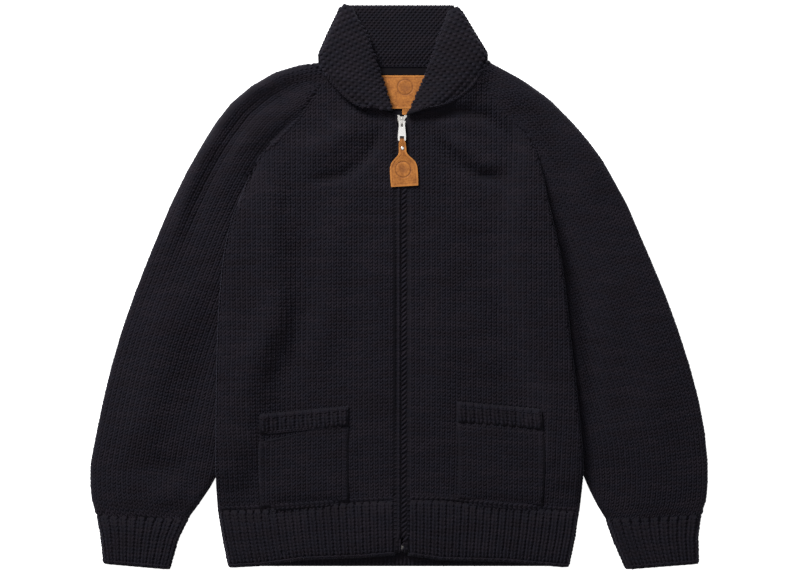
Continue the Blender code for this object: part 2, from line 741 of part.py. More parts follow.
def sleeve(side):
    table, sign = SLEEVE[side], SIDE[side]
    outer, inner = [], []
    stations = raglan_rows(side)
    last = table.rows[-1, 0]
    count = round((last - 6) / SLEEVE_STEP)
    stations += [(6 + (last - 6) * k / count, None) for k in range(count + 1)]
    for row, seam_y in stations:
        values = {name: float(table.at(name, row)) for name in table.columns[1:]}
        if seam_y is not None:
            ahead = FRONT_EDGE[side].at("x", seam_y - 2) - FRONT_EDGE[side].at("x", seam_y + 2)
            values["seam_x"] = sign * (
                FRONT_EDGE[side].at("x", seam_y) + SEAM * math.hypot(1, ahead / 4)
            )
            values["seam_y"] = seam_y

        def profile(share, place):
            edge = smoothstep(share / 0.12) * smoothstep((1 - share) / 0.16) * smoothstep(row / 2)
            swell = values["puff"] * math.sin(math.pi * min(share / 0.8, 1.0)) ** 1.5
            covered = 1.0
            if row > 4.5:
                covered = smoothstep((abs(place[0]) - FRONT_EDGE[side].at("x", place[1])) / 14)
            return covered * (swell + edge * fold_height(SLEEVE_FOLDS[side], *place))

        faces, backs = tube_section(
            (values["outer_x"], values["outer_y"]),
            (values["seam_x"], values["seam_y"]),
            (values["under_x"], values["under_y"]),
            values["close"],
            values["height"],
            profile,
        )
        outer.append(faces)
        inner.append(backs)
    return wall(f"sleeve_{side}", np.array(outer), np.array(inner))


def cuff(side):
    """Ribbed cuff, a flattened tube with ribs on its upper layer and round its outer fold."""
    table = CUFF[side]
    outer, inner = [], []
    for t in (0.0, 1.0, 2.0):
        values = {name: float(table.at(name, t)) for name in table.columns[1:]}
        outline = np.array((values["outer_x"], values["outer_y"]))
        seam = np.array((values["seam_x"], values["seam_y"]))
        span = outline - seam
        width = math.hypot(*span)
        out = span / width
        height = values["height"]
        half = height / 2
        radius = (height - SEAM) / 2
        faces, backs = [], []
        for k in range(2):
            back_off, drop, lean = curled(radius, radius, 1.0, 1 - k / 2)
            faces.append((back_off, height - drop, -math.sin(lean), math.cos(lean), 0.0))
        for distance, crest in rib_places(width - half - radius, CUFF_RIBS):
            faces.append((radius + distance, height, 0.0, 1.0, crest * RIB_RISE))
        for k in range(1, 4):
            angle = math.pi * (0.5 - k / 4)
            away = width - half + half * math.cos(angle)
            up = half + half * math.sin(angle)
            faces.append((away, up, math.cos(angle), math.sin(angle), 0.0))
        for k in range(4):
            faces.append((width - half - (width - half - radius) * k / 3, 0.0, 0.0, -1.0, 0.0))
        for k in range(1, 3):
            back_off, drop, lean = curled(radius, radius, 1.0, k / 2)
            faces.append((back_off, drop, -math.sin(lean), -math.cos(lean), 0.0))
        outer_row, inner_row = [], []
        for away, up, lean_out, lean_up, crest in faces:
            place = seam + out * away
            face = np.array([place[0], place[1], up])
            normal = np.array([out[0] * lean_out, out[1] * lean_out, lean_up])
            outer_row.append(face + crest * normal)
            inner_row.append(face - WALL * normal)
        outer.append(outer_row)
        inner.append(inner_row)
    return wall(f"cuff_{side}", np.array(outer), np.array(inner))


# ---------------------------------------------------------------- pockets
def between(grid, row, column):
    """A point of a front's upper skin at fractional row and column."""
    i = min(int(row), grid.shape[0] - 2)
    j = min(int(column), grid.shape[1] - 2)
    s, t = row - i, column - j
    if t >= s:
        return (1 - t) * grid[i, j] + (t - s) * grid[i, j + 1] + s * grid[i + 1, j + 1]
    return (1 - s) * grid[i, j] + (s - t) * grid[i + 1, j] + t * grid[i + 1, j + 1]


def row_of(grid, y):
    line = grid[:, FRONT_COLUMNS // 2, 1]
    return float(np.interp(y, line, np.arange(len(line))))


def column_of(grid, x, row):
    line = np.abs(grid[int(round(row)), :FRONT_COLUMNS, 0])
    return float(np.interp(x, line, np.arange(len(line))))


def pocket(side, grid):
    """Patch pocket and its ribbed welt, both laid on the front's own points."""
    size = POCKET[side]
    low = row_of(grid, size["low"])
    first = column_of(grid, size["inner"], low + 2)
    last = column_of(grid, size["outer"], low + 2)
    lift = np.array([0.0, 0.0, POCKET_LIFT])
    thick = np.array([0.0, 0.0, POCKET_WALL])

    def top_row(share, below=0.0):
        y = size["top_inner"] + (size["top_outer"] - size["top_inner"]) * share - below
        return row_of(grid, y)

    columns = [first, *range(math.ceil(first + 0.2), math.floor(last - 0.2) + 1), last]
    outer, inner = [], []
    steps = 9
    for k in range(steps):
        outer_row, inner_row = [], []
        for column in columns:
            share = (column - first) / (last - first)
            row = low + (top_row(share, size["welt"] + SEAM) - low) * k / (steps - 1)
            under = between(grid, row, column) + lift
            soft = smoothstep(min(k, column - first, last - column))
            soft = POCKET_RIM + (1 - POCKET_RIM) * soft
            outer_row.append(under + thick * soft)
            inner_row.append(under)
        outer.append(outer_row)
        inner.append(inner_row)
    made = [wall(f"pocket_{side}", np.array(outer), np.array(inner))]
    outer, inner = [], []
    width = size["outer"] - size["inner"]
    for k in range(3):
        outer_row, inner_row = [], []
        for distance, crest in rib_places(width, WELT_RIBS):
            share = distance / width
            column = first + (last - first) * share
            bottom, top = top_row(share, size["welt"]), top_row(share)
            under = between(grid, bottom + (top - bottom) * k / 2, column) + lift
            outer_row.append(under + thick + (0.0, 0.0, crest * RIB_RISE + WELT_RISE))
            inner_row.append(under)
        outer.append(outer_row)
        inner.append(inner_row)
    made.append(wall(f"welt_{side}", np.array(outer), np.array(inner)))
    return made


# ---------------------------------------------------------------- collar
def collar_flap(side):
    """One side of the collar, folded over once: stand below, fall above, crease towards the neck."""
    table = COLLAR_FLAP[side]
    outer, inner = [], []
    stations = 13
    for k in range(stations):
        row = table.rows[-1, 0] * k / (stations - 1)
        values = {name: float(table.at(name, row)) for name in table.columns[1:]}
        crease = np.array((values["crease_x"], values["crease_y"]))
        edge = np.array((values["edge_x"], values["edge_y"]))
        width = math.hypot(*(edge - crease))
        out = (edge - crease) / width
        radius = COLLAR_WALL + 0.25
        low, crown = values["stand"], values["crown"]
        seam = values["seam"]
        resting = max(low, 12.9) if row > 4.5 else low + 0.5
        roll, turn = values["roll"], values["turn"]
        reach = turn_reach(roll, turn, width)
        section = []
        for share in (1.0, 0.75, 0.5, 0.25, 0.0):
            away = radius + (seam * width - radius) * share
            z = low + (resting - low) * smoothstep(share)
            section.append((away, z, 0.0, -1.0))
        for step in (1, 2, 3):
            angle = math.pi * (step / 4)
            away = radius - radius * math.sin(angle)
            lean_out, lean_up = -math.sin(angle), -math.cos(angle)
            section.append((away, low + radius + radius * lean_up, lean_out, lean_up))
        start = low + 2 * radius
        for share in (0.0, 0.2, 0.4, 0.6, 0.8, 1.0):
            away = radius + (width - reach - radius) * share
            arch = math.sin(0.5 * math.pi * min(share / 0.6, 1.0))
            z = start + (crown - start) * arch
            settle = smoothstep((away / width - seam) / max(1 - seam, 0.05)) * (1 - turn)
            z -= settle * (crown - resting - COLLAR_WALL - 0.3)
            section.append((away, z, 0.0, 1.0))
        top = section[-1][1]
        for step in (1, 2, 3):
            back_off, drop, lean = curled(reach, roll, turn, step / 3)
            section.append((width - back_off, top - drop, math.sin(lean), math.cos(lean)))
        outer_row, inner_row = [], []
        for away, z, lean_out, lean_up in section:
            place = crease + out * away
            normal = np.array([out[0] * lean_out, out[1] * lean_out, lean_up])
            face = np.array([place[0], place[1], z])
            outer_row.append(face)
            inner_row.append(face - COLLAR_WALL * normal)
        outer.append(outer_row)
        inner.append(inner_row)
    return wall(f"collar_{side}", np.array(outer), np.array(inner))


def collar_back():
    """Back of the collar, folded over along its top: stand above, fall beneath."""
    top_y = 385.0
    radius = COLLAR_WALL + 0.25
    seam_y, fall_y = NECK_BACK_Y + SEAM, 304.0
    columns = 13

    def outline(side, y):
        stations = np.arange(4, -1, -1)
        table = COLLAR_FLAP[side]
        return float(np.interp(y, table.at("edge_y", stations), abs(table.at("edge_x", stations))))

    path = []
    for share in np.linspace(0, 1, 6):
        y = seam_y + (top_y - radius - seam_y) * share
        drop = 4.2 * (1 - smoothstep((y - seam_y - 2) / 20))
        path.append((y, 2 * radius + 0.3 - drop, 0.0, 1.0, "stand"))
    for step in (1, 2, 3):
        angle = math.pi * (0.5 - step / 4)
        y = top_y - radius + radius * math.cos(angle)
        z = radius + 0.15 + (radius + 0.15) * math.sin(angle)
        path.append((y, z, math.cos(angle), math.sin(angle), "fold"))
    for share in np.linspace(0, 1, 4):
        path.append((top_y - radius + (fall_y - top_y + radius) * share, 0.0, 0.0, -1.0, "fall"))
    outer, inner = [], []
    for y, z, lean_y, lean_z, part in path:
        outer_row, inner_row = [], []
        inset = {"stand": 13.0, "fold": 10.0, "fall": 1.0}[part]
        left = -(outline("right", y) - inset)
        right = outline("left", y) - inset
        for k in range(columns):
            x = left + (right - left) * k / (columns - 1)
            climb = 0.0
            # Both lower edges rise at the sides, to pass above the shoulders.
            share = (top_y - y) / (top_y - seam_y)
            at_y = y + 9.0 * share * smoothstep((abs(x) - 72) / 30)
            if part == "fall":
                climb = 5.0 * (smoothstep((left + 12 - x) / 12) + smoothstep((x - right + 12) / 12))
            outer_row.append((x, at_y, z + climb))
            inner_row.append((x, at_y - COLLAR_WALL * lean_y, z + climb - COLLAR_WALL * lean_z))
        outer.append(outer_row)
        inner.append(inner_row)
    return wall("collar_back", np.array(outer), np.array(inner))


# ---------------------------------------------------------------- zip
CHAIN_LOW, CHAIN_HIGH = 5.4, 7.5  # lower and upper faces of the closed teeth
TAPE_LOW, TAPE_HIGH = 6.9, 7.7
CHAIN_HALF = 2.5
CHAIN_END_Y = -355.0
SLIDER_LOW_Y, SLIDER_HIGH_Y = 218.5, 233.0
SLIDER_TOP = 9.6
HINGE_Y, HINGE_Z = 224.0, 16.6  # where the pull's eye hangs in the bail
BAIL_HALF = 1.15  # half the width of the bail's bow
PULL_THICK = 1.5
PULL_END_Y = 197.0
PULL = Table(
    "y half",
    (PULL_END_Y, 4.4),
    (PULL_END_Y + 1.0, 5.4),
    (PULL_END_Y + 6, 5.6),
    (212.0, 4.9),
    (217.0, 4.3),
    (HINGE_Y, 4.0),
    (HINGE_Y + 0.8, 3.6),
)


def slab(name, outline, low, high, finish):
    """A flat plate from a plan outline, between two heights."""
    count = len(outline)
    points = [(x, y, low) for x, y in outline] + [(x, y, high) for x, y in outline]
    faces = [tuple(range(count))[::-1], tuple(range(count, 2 * count))]
    for k in range(count):
        n = (k + 1) % count
        faces.append((k, n, count + n, count + k))
    return solid(name, points, faces, finish)


def corners(left, low, right, high):
    return [(left, low), (right, low), (right, high), (left, high)]


def zip_tapes():
    low_y, high_y = HEM_EDGE.at("low", ZIP_X) + 4, SLIDER_LOW_Y - 1
    for side, sign in SIDE.items():
        near, far = sorted((ZIP_X + sign * (CHAIN_HALF + 0.4), ZIP_X + sign * 14.5))
        slab(f"zip_tape_{side}", corners(near, low_y, far, high_y), TAPE_LOW, TAPE_HIGH, TAPE)


def zip_chain():
    outline = corners(ZIP_X - CHAIN_HALF, CHAIN_END_Y, ZIP_X + CHAIN_HALF, SLIDER_LOW_Y - 0.4)
    slab("zip_chain", outline, CHAIN_LOW, CHAIN_HIGH, NICKEL)


def zip_box():
    """Metal stop at the lower end, where both halves of the zip meet."""
    outline = []
    for k in range(12):
        angle = 2 * math.pi * k / 12
        outline.append((ZIP_X + 0.6 + 1.7 * math.cos(angle), -360.0 + 4.2 * math.sin(angle)))
    slab("zip_box", outline, 7.9, 11.6, NICKEL)


def combine(base, other, operation):
    """Joins another solid to this one, or cuts it away."""
    step = base.modifiers.new(operation.lower(), "BOOLEAN")
    step.operation = operation
    step.solver = "EXACT"
    step.object = other
    other.hide_render = True
    other.display_type = "WIRE"


def slider_outline():
    half = Table("y half", (218.5, 4.4), (222, 4.8), (227, 6.2), (230, 6.9), (233, 6.9))
    right = [(ZIP_X + half.at("half", y), y) for y in (218.5, 220, 223, 226, 229, 233)]
    notch = [(ZIP_X + 3.4, 233.0), (ZIP_X + 2.6, 231.0), (ZIP_X - 2.6, 231.0), (ZIP_X - 3.4, 233.0)]
    left = [(2 * ZIP_X - x, y) for x, y in reversed(right)]
    return right + notch + left


def bail_line(half, rise, bulge):
    """One side of the bail's bow, seen from the zip's side: up, over the hinge and down."""
    foot = SLIDER_TOP - 0.6
    line = [(HINGE_Y - half, foot)]
    for k in range(8):
        angle = math.pi * (1 - k / 7)
        z = HINGE_Z + rise + bulge * (math.sin(angle) - 1)
        line.append((HINGE_Y + half * math.cos(angle), z))
    return line + [(HINGE_Y + half, foot)]


def zip_slider():
    """Cast body, two plates on a middle post, with the arched bail that carries the pull."""
    body = slab("zip_slider", slider_outline(), TAPE_HIGH + SEAM, SLIDER_TOP, NICKEL)
    lower = slab("slider_lower_plate", slider_outline(), CHAIN_LOW, TAPE_LOW - SEAM, NICKEL)
    wedge = [(ZIP_X - 1.5, 224), (ZIP_X + 1.5, 224), (ZIP_X + 2.4, 230), (ZIP_X - 2.4, 230)]
    post = slab("slider_post", wedge, CHAIN_LOW + 0.6, SLIDER_TOP - 0.8, NICKEL)
    over, under = bail_line(5.2, 2.9, 1.4), bail_line(3.6, 1.5, 0.5)
    outline = over + under[::-1]
    count = len(outline)
    points = [(ZIP_X + x, y, z) for x in (-BAIL_HALF, BAIL_HALF) for y, z in outline]
    faces = []
    for k in range(len(over) - 1):
        a, b, c, d = k, k + 1, count - 2 - k, count - 1 - k
        faces.append((a, b, c, d))
        faces.append((count + d, count + c, count + b, count + a))
    for k in range(count):
        faces.append((k, (k + 1) % count, count + (k + 1) % count, count + k))
    bail = solid("slider_bail", points, faces, NICKEL)
    for piece in (lower, post, bail):
        combine(body, piece, "UNION")


def zip_pull(hinge):
    """Pull plate with an eye round the bail and a slot for the leather strap."""
    low, high = HINGE_Z - PULL_THICK / 2, HINGE_Z + PULL_THICK / 2
    outline = [(ZIP_X + half, y) for y, half in PULL.rows]
    outline += [(ZIP_X - half, y) for y, half in PULL.rows[::-1]]
    plate = slab("zip_pull", outline, low, high, NICKEL)
    for name, half, low_y, high_y in (
        ("pull_eye", BAIL_HALF + 0.55, 216.6, 223.2),
        ("pull_slot", 2.9, STRAP_Y - 0.2, STRAP_Y + 3.4),
    ):
        hole = slab(name, corners(ZIP_X - half, low_y, ZIP_X + half, high_y), low - 1, high + 1, NICKEL)
        combine(plate, hole, "DIFFERENCE")
    plate.parent = hinge
    return plate


# The leather strap: a short lower end, a loop through the pull's slot and the long face on top.
# Its stations give the place along the zip, the height of the face that ends up outside, and half
# the width.
STRAP_THICK = 1.5
STRAP_Y = 200.2  # where the strap turns through the slot
STRAP_LEAN = math.radians(3.4)
STRAP_LOW, STRAP_HIGH = 14.2, 15.95  # lower faces of the lower end and of the long face
BAR_GAP = 0.25  # clearance round the pull's bar
STRAP_END = (
    (178.0, STRAP_LOW - 0.1, 3.6),
    (186.0, STRAP_LOW - 0.1, 4.6),
    (193.0, STRAP_LOW - 0.1, 4.6),
    (197.0, HINGE_Z - PULL_THICK / 2 - BAR_GAP - STRAP_THICK, 2.5),
    (STRAP_Y, HINGE_Z - PULL_THICK / 2 - BAR_GAP - STRAP_THICK, 2.4),
)
STRAP_FACE = (
    (STRAP_Y, HINGE_Z + PULL_THICK / 2 + BAR_GAP + STRAP_THICK, 2.5),
    (197.0, HINGE_Z + PULL_THICK / 2 + BAR_GAP + STRAP_THICK, 3.6),
    (193.5, HINGE_Z + PULL_THICK / 2 + BAR_GAP + STRAP_THICK - 0.4, 4.8),
    (189.0, STRAP_HIGH + 1.5, 5.0),
    (182.0, STRAP_HIGH + 1.5, 5.2),
    (178.0, STRAP_HIGH + 1.4, 6.8),
    (175.0, STRAP_HIGH + 0.9, 9.8),
    (171.5, STRAP_HIGH + 0.4, 13.4),
    (167.5, STRAP_HIGH, 16.6),
    (162.0, STRAP_HIGH, 18.6),
    (156.0, STRAP_HIGH, 19.0),
    (145.0, STRAP_HIGH, 19.0),
    (135.0, STRAP_HIGH, 18.6),
)
RIVET_Y = STRAP_Y - 13.2


def leaned(x, y):
    """Turns a place on the strap with its slight lean about its loop."""
    away = y - STRAP_Y
    return (
        ZIP_X + x * math.cos(STRAP_LEAN) - away * math.sin(STRAP_LEAN),
        STRAP_Y + x * math.sin(STRAP_LEAN) + away * math.cos(STRAP_LEAN),
    )


def pull_tag(hinge):
    outer = list(STRAP_END)
    inner = [(y, z + STRAP_THICK, half) for y, z, half in STRAP_END]
    rise = PULL_THICK / 2 + BAR_GAP
    for step in (1, 2, 3):
        angle = math.pi * (step / 4 - 0.5)
        for line, extra in ((outer, STRAP_THICK), (inner, 0.0)):
            y = STRAP_Y + (0.55 + extra) * math.cos(angle)
            line.append((y, HINGE_Z + (rise + extra) * math.sin(angle), 2.4))
    outer += STRAP_FACE
    inner += [(y, z - STRAP_THICK, half) for y, z, half in STRAP_FACE]
    grids = []
    for line in (outer, inner):
        grids.append([[(*leaned(half * t, y), z) for t in (-1, 0, 1)] for y, z, half in line])
    tag = wall("pull_tag", np.array(grids[0]), np.array(grids[1]), LEATHER)
    tag.parent = hinge
    centre_x, centre_y = leaned(0.0, RIVET_Y)
    base = STRAP_HIGH + STRAP_THICK + BAR_GAP
    points, faces, ring = [], [], 12
    for radius, z in ((2.5, base), (2.5, base + 0.4), (1.6, base + 0.95)):
        for k in range(ring):
            angle = 2 * math.pi * k / ring
            points.append((centre_x + radius * math.cos(angle), centre_y + radius * math.sin(angle), z))
    faces.append(tuple(range(ring))[::-1])
    faces.append(tuple(range(2 * ring, 3 * ring)))
    for level in (0, 1):
        for k in range(ring):
            a, b = level * ring + k, level * ring + (k + 1) % ring
            faces.append((a, b, b + ring, a + ring))
    rivet = solid("tag_rivet", points, faces, NICKEL)
    rivet.parent = hinge
    return tag, rivet


# ---------------------------------------------------------------- neck tape and leather patches
def neck_trim():
    """Flat pieces sewn to the inside of the back, seen through the open neck."""
    low = BACK_TOP + SEAM
    slab("neck_tape", corners(-68, 288.5, 72, 297.5), low, low + 1.0, TAPE)
    slab("neck_patch", corners(-30, 242.0, 40, 287.6), low, low + 1.6, LEATHER)
    slab("small_patch", corners(4.5, 233.8, 16.5, 241.4), low, low + 1.4, LEATHER)


def build():
    for old in list(bpy.data.objects):
        bpy.data.objects.remove(old, do_unlink=True)
    back()
    hem_back()
    for side in SIDE:
        outer, inner = front(side)
        wall(f"front_{side}", outer, inner)
        pocket(side, outer)
        band(side)
        hem_front(side)
        sleeve(side)
        cuff(side)
        collar_flap(side)
    collar_back()
    zip_tapes()
    zip_chain()
    zip_box()
    zip_slider()
    hinge = bpy.data.objects.new("pull_hinge", None)
    bpy.context.scene.collection.objects.link(hinge)
    hinge.location = placed(ZIP_X, HINGE_Y, HINGE_Z)
    bpy.context.view_layer.update()
    for piece in (zip_pull(hinge), *pull_tag(hinge)):
        piece.matrix_parent_inverse = hinge.matrix_world.inverted()
    neck_trim()


build()
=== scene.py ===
"""Hand-knitted Cowichan cardigan in black wool, zipped and laid flat, seen straight from above."""

import math

import bmesh
import bpy
import numpy as np
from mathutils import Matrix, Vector
from mathutils.bvhtree import BVHTree


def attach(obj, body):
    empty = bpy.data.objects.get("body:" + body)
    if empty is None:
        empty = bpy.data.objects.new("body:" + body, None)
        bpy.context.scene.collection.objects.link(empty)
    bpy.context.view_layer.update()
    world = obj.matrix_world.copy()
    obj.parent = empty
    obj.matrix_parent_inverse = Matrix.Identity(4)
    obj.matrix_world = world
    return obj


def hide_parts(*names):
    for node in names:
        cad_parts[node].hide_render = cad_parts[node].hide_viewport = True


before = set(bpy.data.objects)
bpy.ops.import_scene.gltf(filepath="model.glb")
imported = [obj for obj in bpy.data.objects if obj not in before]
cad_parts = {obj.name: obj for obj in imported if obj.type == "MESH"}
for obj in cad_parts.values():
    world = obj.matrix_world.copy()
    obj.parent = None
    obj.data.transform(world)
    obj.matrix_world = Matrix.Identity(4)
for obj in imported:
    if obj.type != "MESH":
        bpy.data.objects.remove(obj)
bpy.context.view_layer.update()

# ---- back
# The back is one panel of stocking stitch in bulky spun wool, knitted from the hem ribs up, with its
# raglan edges sewn to the sleeves.  It lies flat on the surface, and its sides turn up to the fronts.
WALE = 0.00705  # width of one stitch
COURSE = 0.00493  # height of one stitch
YARN_DEPTH = 0.0013  # how far the stitches stand above the cloth they are part of
CLOTH = 0.0025  # thickness of that cloth


def outer_face(node, upward=0, folded=False):
    """Points with their normals, and triangles, of a knitted wall's outer face, without its rims.

    A folded wall hides its other face, which is left out because it looks at itself.
    """
    work = bmesh.new()
    work.from_mesh(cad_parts[node].data)
    bmesh.ops.remove_doubles(work, verts=work.verts[:], dist=1e-5)
    if folded:
        tree = BVHTree.FromBMesh(work)
        hidden = []
        for f in work.faces:
            start = f.calc_center_median() + f.normal * 1e-4
            if tree.ray_cast(start, f.normal, 0.03)[0] is not None:
                hidden.append(f)
        bmesh.ops.delete(work, geom=hidden, context="FACES")
    rims = [e for e in work.edges if len(e.link_faces) == 2 and e.calc_face_angle() > math.radians(62)]
    bmesh.ops.split_edges(work, edges=rims)
    work.faces.index_update()
    work.normal_update()
    seen, best = set(), (0.0, [])
    for seed in work.faces:
        island = [] if seed in seen else [seed]
        seen.add(seed)
        for face in island:
            near = dict.fromkeys(f for e in face.edges for f in e.link_faces if f not in seen)
            seen.update(near)
            island += near
        score = sum(f.calc_area() * (1 + upward * f.normal.z) for f in island)
        if score > best[0]:
            best = score, island
    used = {v: i for i, v in enumerate(dict.fromkeys(v for f in best[1] for v in f.verts))}
    points = np.array([[*v.co, *v.normal] for v in used])
    faces = np.array([[used[v] for v in f.verts] for f in best[1]])
    work.free()
    return points, faces


def crossing(points, faces, level, value):
    """The line in which a face of cloth crosses one level, as points in order."""
    above = level[faces] >= value
    links, places = {}, {}
    for face in faces[above.any(1) & ~above.all(1)]:
        cut = []
        for a, b in zip(face, np.roll(face, -1)):
            if (level[a] >= value) != (level[b] >= value):
                a, b = min(a, b), max(a, b)
                t = (value - level[a]) / (level[b] - level[a])
                places[a, b] = points[a] * (1 - t) + points[b] * t
                cut.append((a, b))
        links.setdefault(cut[0], []).append(cut[1])
        links.setdefault(cut[1], []).append(cut[0])
    left, best, longest = set(links), [], 0.0
    for end in [key for key in links if len(links[key]) == 1] or list(links)[:1]:
        chain = [end] if end in left else []
        for key in chain:
            left.discard(key)
            chain += [onward for onward in links[key] if onward in left][:1]
        line = np.array([places[key] for key in chain])
        length = np.linalg.norm(np.diff(line[:, :3], axis=0), axis=1).sum() if len(line) > 1 else 0.0
        if length > longest:
            best, longest = line, length
    return best


def lengths_along(line):
    """How far along a line each of its points is."""
    return np.concatenate([[0.0], np.cumsum(np.linalg.norm(np.diff(line[:, :3], axis=0), axis=1))])


def courses(node, level, upward, start, zero=None, pitch=COURSE, folded=False):
    """Lines across a knitted wall from its lowest level to its highest: (distances, points) for each.

    Every other one, from the first, parts two rows of stitches, and those between run through their
    middles.  start puts the end of a line with the lower value first, and zero gives the distance
    along a line from which its stitches are counted.
    """
    points, faces = outer_face(node, upward, folded)
    heights = level(points)
    low, high = heights.min() + 0.0006, heights.max() - 0.0006
    rows = []
    for value in np.linspace(low, high, 2 * max(1, round((high - low) / pitch)) + 1):
        line = crossing(points, faces, heights, value)
        if len(line) < 2:
            continue
        if start(line[0]) > start(line[-1]):
            line = line[::-1]
        along = lengths_along(line)
        rows.append((along - (zero(line, along) if zero else 0.0), line))
    return rows


def lie_of(spots, folds):
    """How high cloth lies over its flat place along its folds.

    Each fold has a half width, a rise and a line, all in millimetres.
    """
    rise = np.zeros(len(spots))
    for half, height, *line in folds:
        line = np.array(line) / 1000
        lengths = np.linalg.norm(np.diff(line, axis=0), axis=1)
        nearest, share = np.full(len(spots), 9.0), np.zeros(len(spots))
        for i, (a, b) in enumerate(zip(line, line[1:])):
            t = np.clip((spots - a) @ (b - a) / lengths[i] ** 2, 0, 1)
            away = np.linalg.norm(spots - a - t[:, None] * (b - a), axis=1)
            better = away < nearest
            share[better] = (lengths[:i].sum() + t[better] * lengths[i]) / lengths.sum()
            nearest[better] = away[better]
        fade = np.clip(np.minimum(share, 1 - share) / 0.3, 0, 1)
        rise += height / 1000 * np.exp(-((nearest / (half / 1000)) ** 2)) * fade * fade * (3 - 2 * fade)
    return rise


def creased(rows, folds):
    """Lines across a wall with folds laid into its upper side."""
    lain = []
    for along, line in rows:
        close = np.union1d(along, np.arange(along[0], along[-1], 0.004))
        line = read((along, line), close)
        up = np.clip((line[:, 5] - 0.45) / 0.4, 0, 1)
        line[:, 2] += up * lie_of(line[:, :2], folds)
        for i in range(2):
            step = np.eye(2)[i] * 0.001
            ahead, behind = lie_of(line[:, :2] + step, folds), lie_of(line[:, :2] - step, folds)
            line[:, 3 + i] -= up * (ahead - behind) / 0.002
        lain.append((close, line))
    return lain


def read(row, distance):
    """The place and normal at a distance along a row, or at each of several."""
    along, line = row
    return np.array([np.interp(distance, along, line[:, i]) for i in range(6)]).T


def neighbours(grid, shift, axis):
    """The grid moved by one place, with gaps where nothing moved in."""
    moved = np.roll(grid, shift, axis)
    index = [slice(None)] * 3
    index[axis] = 0 if shift > 0 else -1
    moved[tuple(index)] = np.nan
    return moved


def evened(grid, rounds):
    """Smooths a grid of places, which has gaps, wherever all four neighbours are there."""
    for _ in range(rounds):
        around = [neighbours(grid, s, axis) for axis in (0, 1) for s in (1, -1)]
        mean = sum(around) / 4
        inside = ~np.isnan(mean[..., 0] + grid[..., 0])
        grid[inside] = 0.5 * (grid[inside] + mean[inside])
    return grid


def stitch_places(rows, width=WALE, margin=0.2, rounds=2, half_drop=False, draw=None):
    """Places of all whole stitches as a grid with gaps: rows by columns of place and normal.

    draw gives how much narrower the stitches of a row are.
    """
    rows = rows[1::2]
    first = math.floor(min(row[0][0] for row in rows) / width) - 1
    last = math.ceil(max(row[0][-1] for row in rows) / width) + 1
    grid = np.full((len(rows), last - first, 6), np.nan)
    for i, row in enumerate(rows):
        for k in range(first, last):
            distance = (k + (0.5 if half_drop and i % 2 else 0.0) + 0.5) * width
            if draw:
                distance *= draw(row[1])
            if row[0][0] + margin * width <= distance <= row[0][-1] - margin * width:
                grid[i, k - first] = read(row, distance)
    return grid if half_drop else evened(grid, rounds)


def unit(vectors):
    """The vectors at length one."""
    return vectors / np.maximum(np.linalg.norm(vectors, axis=-1, keepdims=True), 1e-9)


def spans(grid, axis):
    """Vectors between neighbouring places along one axis, one-sided at the ends."""
    ahead = neighbours(grid, -1, axis)[..., :3] - grid[..., :3]
    behind = grid[..., :3] - neighbours(grid, 1, axis)[..., :3]
    return np.where(np.isnan(ahead), behind, np.where(np.isnan(behind), ahead, 0.5 * (ahead + behind)))


def placed(name, data):
    """A new object in the scene."""
    made = bpy.data.objects.new(name, data)
    bpy.context.scene.collection.objects.link(made)
    return made


def cloth_mesh(name, rows, columns, depth=YARN_DEPTH, rounds=1, every=4, reach=0.0018, tail=0.0):
    """A thin closed sheet that follows the rows, set in from the wall's outer face.

    Its edges are set in less and reach out to the next piece, which they are sewn or knitted to.
    tail is how much further its lowest edge reaches, under the ribs it is knitted on from.
    """
    rows = rows[: -every or None : every] + rows[-1:]
    shares = np.arange(columns + 1) / columns
    grid = np.array([read(row, row[0][0] + (row[0][-1] - row[0][0]) * shares) for row in rows])
    grid = evened(grid, rounds)
    normal = unit(grid[..., 3:])
    count = grid.shape[0] * grid.shape[1]
    inset = np.full(grid.shape[:2] + (1,), depth)
    for ring, share in ((1, 0.9), (0, 0.6)):
        for edge in (np.s_[ring], np.s_[-1 - ring], np.s_[:, ring], np.s_[:, -1 - ring]):
            inset[edge] = depth * share
    skin = grid[..., :3].copy()
    ends, flanks = ((np.s_[0], np.s_[1]), (np.s_[-1], np.s_[-2])), ((0, 1), (-1, -2))
    for edge, next_to in (*ends, *((np.s_[:, j], np.s_[:, k]) for j, k in flanks)):
        skin[edge] += reach * unit(grid[edge][..., :3] - grid[next_to][..., :3])
    skin[0] += tail * unit(grid[0, :, :3] - grid[1, :, :3])
    points = np.concatenate([(skin - (d + inset) * normal).reshape(-1, 3) for d in (0.0, CLOTH)])
    points[:, 2] = np.maximum(points[:, 2], 0.0)
    index = np.arange(count).reshape(grid.shape[:2])
    a, b, c, d = (part.ravel() for part in (index[:-1, :-1], index[:-1, 1:], index[1:, 1:], index[1:, :-1]))
    faces = np.stack([a, b, c, d, count + a, count + d, count + c, count + b], 1).reshape(-1, 4).tolist()
    rim = np.concatenate([index[0], index[1:, -1], index[-1, -2::-1], index[-2:0:-1, 0]]).tolist()
    faces += [(b, a, count + a, count + b) for a, b in zip(rim, rim[1:] + rim[:1])]
    mesh = bpy.data.meshes.new(name)
    mesh.from_pydata(points.tolist(), [], faces)
    work = bmesh.new()
    work.from_mesh(mesh)
    bmesh.ops.recalc_face_normals(work, faces=work.faces)
    if work.calc_volume(signed=True) < 0:
        bmesh.ops.reverse_faces(work, faces=work.faces)
    work.to_mesh(mesh)
    work.free()
    mesh.shade_smooth()
    return placed(name, mesh)


PATTERNS = []  # single stitches, which are not part of the cardigan


